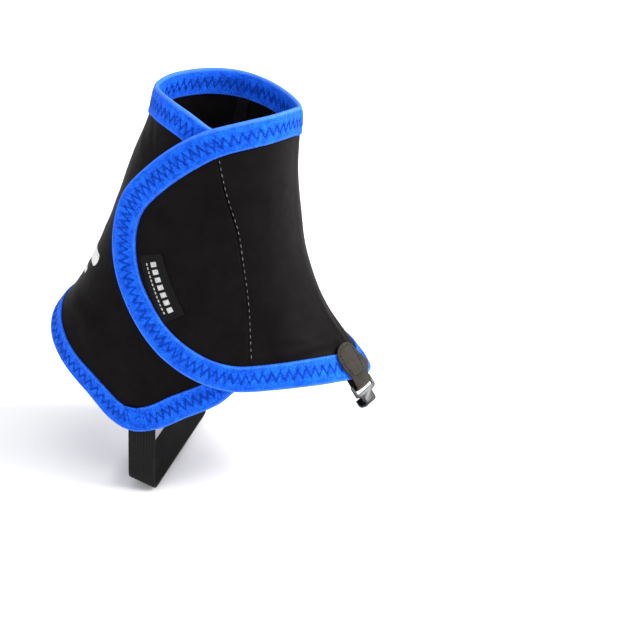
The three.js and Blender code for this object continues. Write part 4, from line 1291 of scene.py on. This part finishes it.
def soften_hook():
    """Joins the CAD mesh's flat facets and rounds its edges."""
    work = bmesh.new()
    work.from_mesh(hook_mesh)
    bmesh.ops.remove_doubles(work, verts=work.verts, dist=1e-6)
    bmesh.ops.dissolve_limit(work, angle_limit=math.radians(2), verts=work.verts, edges=work.edges)
    work.to_mesh(hook_mesh)
    work.free()
    hook_mesh.polygons.foreach_set("use_smooth", [True] * len(hook_mesh.polygons))
    rounding = hook.modifiers.new("rounding", "BEVEL")
    rounding.width = 0.22 * MM
    rounding.segments = 3
    rounding.limit_method = "ANGLE"
    rounding.angle_limit = math.radians(40)
    rounding.harden_normals = True


soften_hook()
riding(hook, "hook", "lace_hook", slot="hook_metal")

# ---- Floor and light ----
FLOOR_HALF = 30.0
FLOOR_LEVEL = -0.0048
GLOW_FROM, GLOW_TO, GLOW = 0.35, 1.5, 0.9  # metres from the origin, and the strength reached there
floor_mesh = bpy.data.meshes.new("floor")
floor_mesh.from_pydata(
    [(x * FLOOR_HALF, y * FLOOR_HALF, FLOOR_LEVEL) for x, y in ((-1, -1), (1, -1), (1, 1), (-1, 1))],
    [], [(0, 1, 2, 3)],
)
floor_look = Look(
    "floor", (0.86, 0.86, 0.87), 0.85, Specular_IOR_Level=0.1, Emission_Color=(1, 1, 1, 1),
)
# Far from the object the floor glows, so that it stays as pale as the backdrop behind it.
floor_place = floor_look.add("NewGeometry").outputs["Position"]
far_out = floor_look.add("VectorMath", [("Vector", floor_place)], operation="LENGTH")
glow = floor_look.add(
    "MapRange", [("Value", far_out.outputs["Value"])], interpolation_type="SMOOTHSTEP",
    From_Min=GLOW_FROM, From_Max=GLOW_TO, To_Max=GLOW,
)
floor_look.feed("Emission Strength", glow.outputs[0])
floor_mesh.materials.append(floor_look.material)
linked("floor", floor_mesh)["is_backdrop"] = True

HORIZON_SKY = (0.10, (1.0, 1.0, 1.0))
UPPER_SKY = (0.30, (0.21, 0.215, 0.225))
world = bpy.data.worlds.new("world")
world.use_nodes = True
sky = Nodes(world.node_tree)
way_up = sky.add("SeparateXYZ", [("Vector", sky.add("TexCoord").outputs["Generated"])])
backdrop = sky.tree.nodes["Background"]
shade = sky.ramp(way_up.outputs["Z"], [HORIZON_SKY, UPPER_SKY])
sky.tree.links.new(shade, backdrop.inputs["Color"])
backdrop.inputs["Strength"].default_value = 1.0
scene.world = world

LIT_PLACE = Vector((0.02, 0, 0.1))
# Name, azimuth, elevation, distance and size in metres, power in watts, colour.
for name, azimuth, elevation, distance, size, power, colour in (
    ("key_light", 98, 34, 1.3, 0.8, 34, (1.0, 0.975, 0.94)),
    ("fill_light", -22, 30, 1.5, 1.2, 12, (1, 1, 1)),
    ("top_light", 10, 82, 1.4, 1.2, 12, (1, 1, 1)),
    ("rim_light", 200, 35, 1.5, 1.0, 7, (1, 1, 1)),
):
    lamp = bpy.data.lights.new(name, "AREA")
    lamp.shape = "DISK"
    lamp.size, lamp.energy, lamp.color = size, power, colour
    way = way_to(azimuth, elevation)
    softbox = linked(name, lamp)
    softbox.location = LIT_PLACE + way * distance
    softbox.rotation_mode = "QUATERNION"
    softbox.rotation_quaternion = way.to_track_quat("Z", "Y")

low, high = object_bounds()
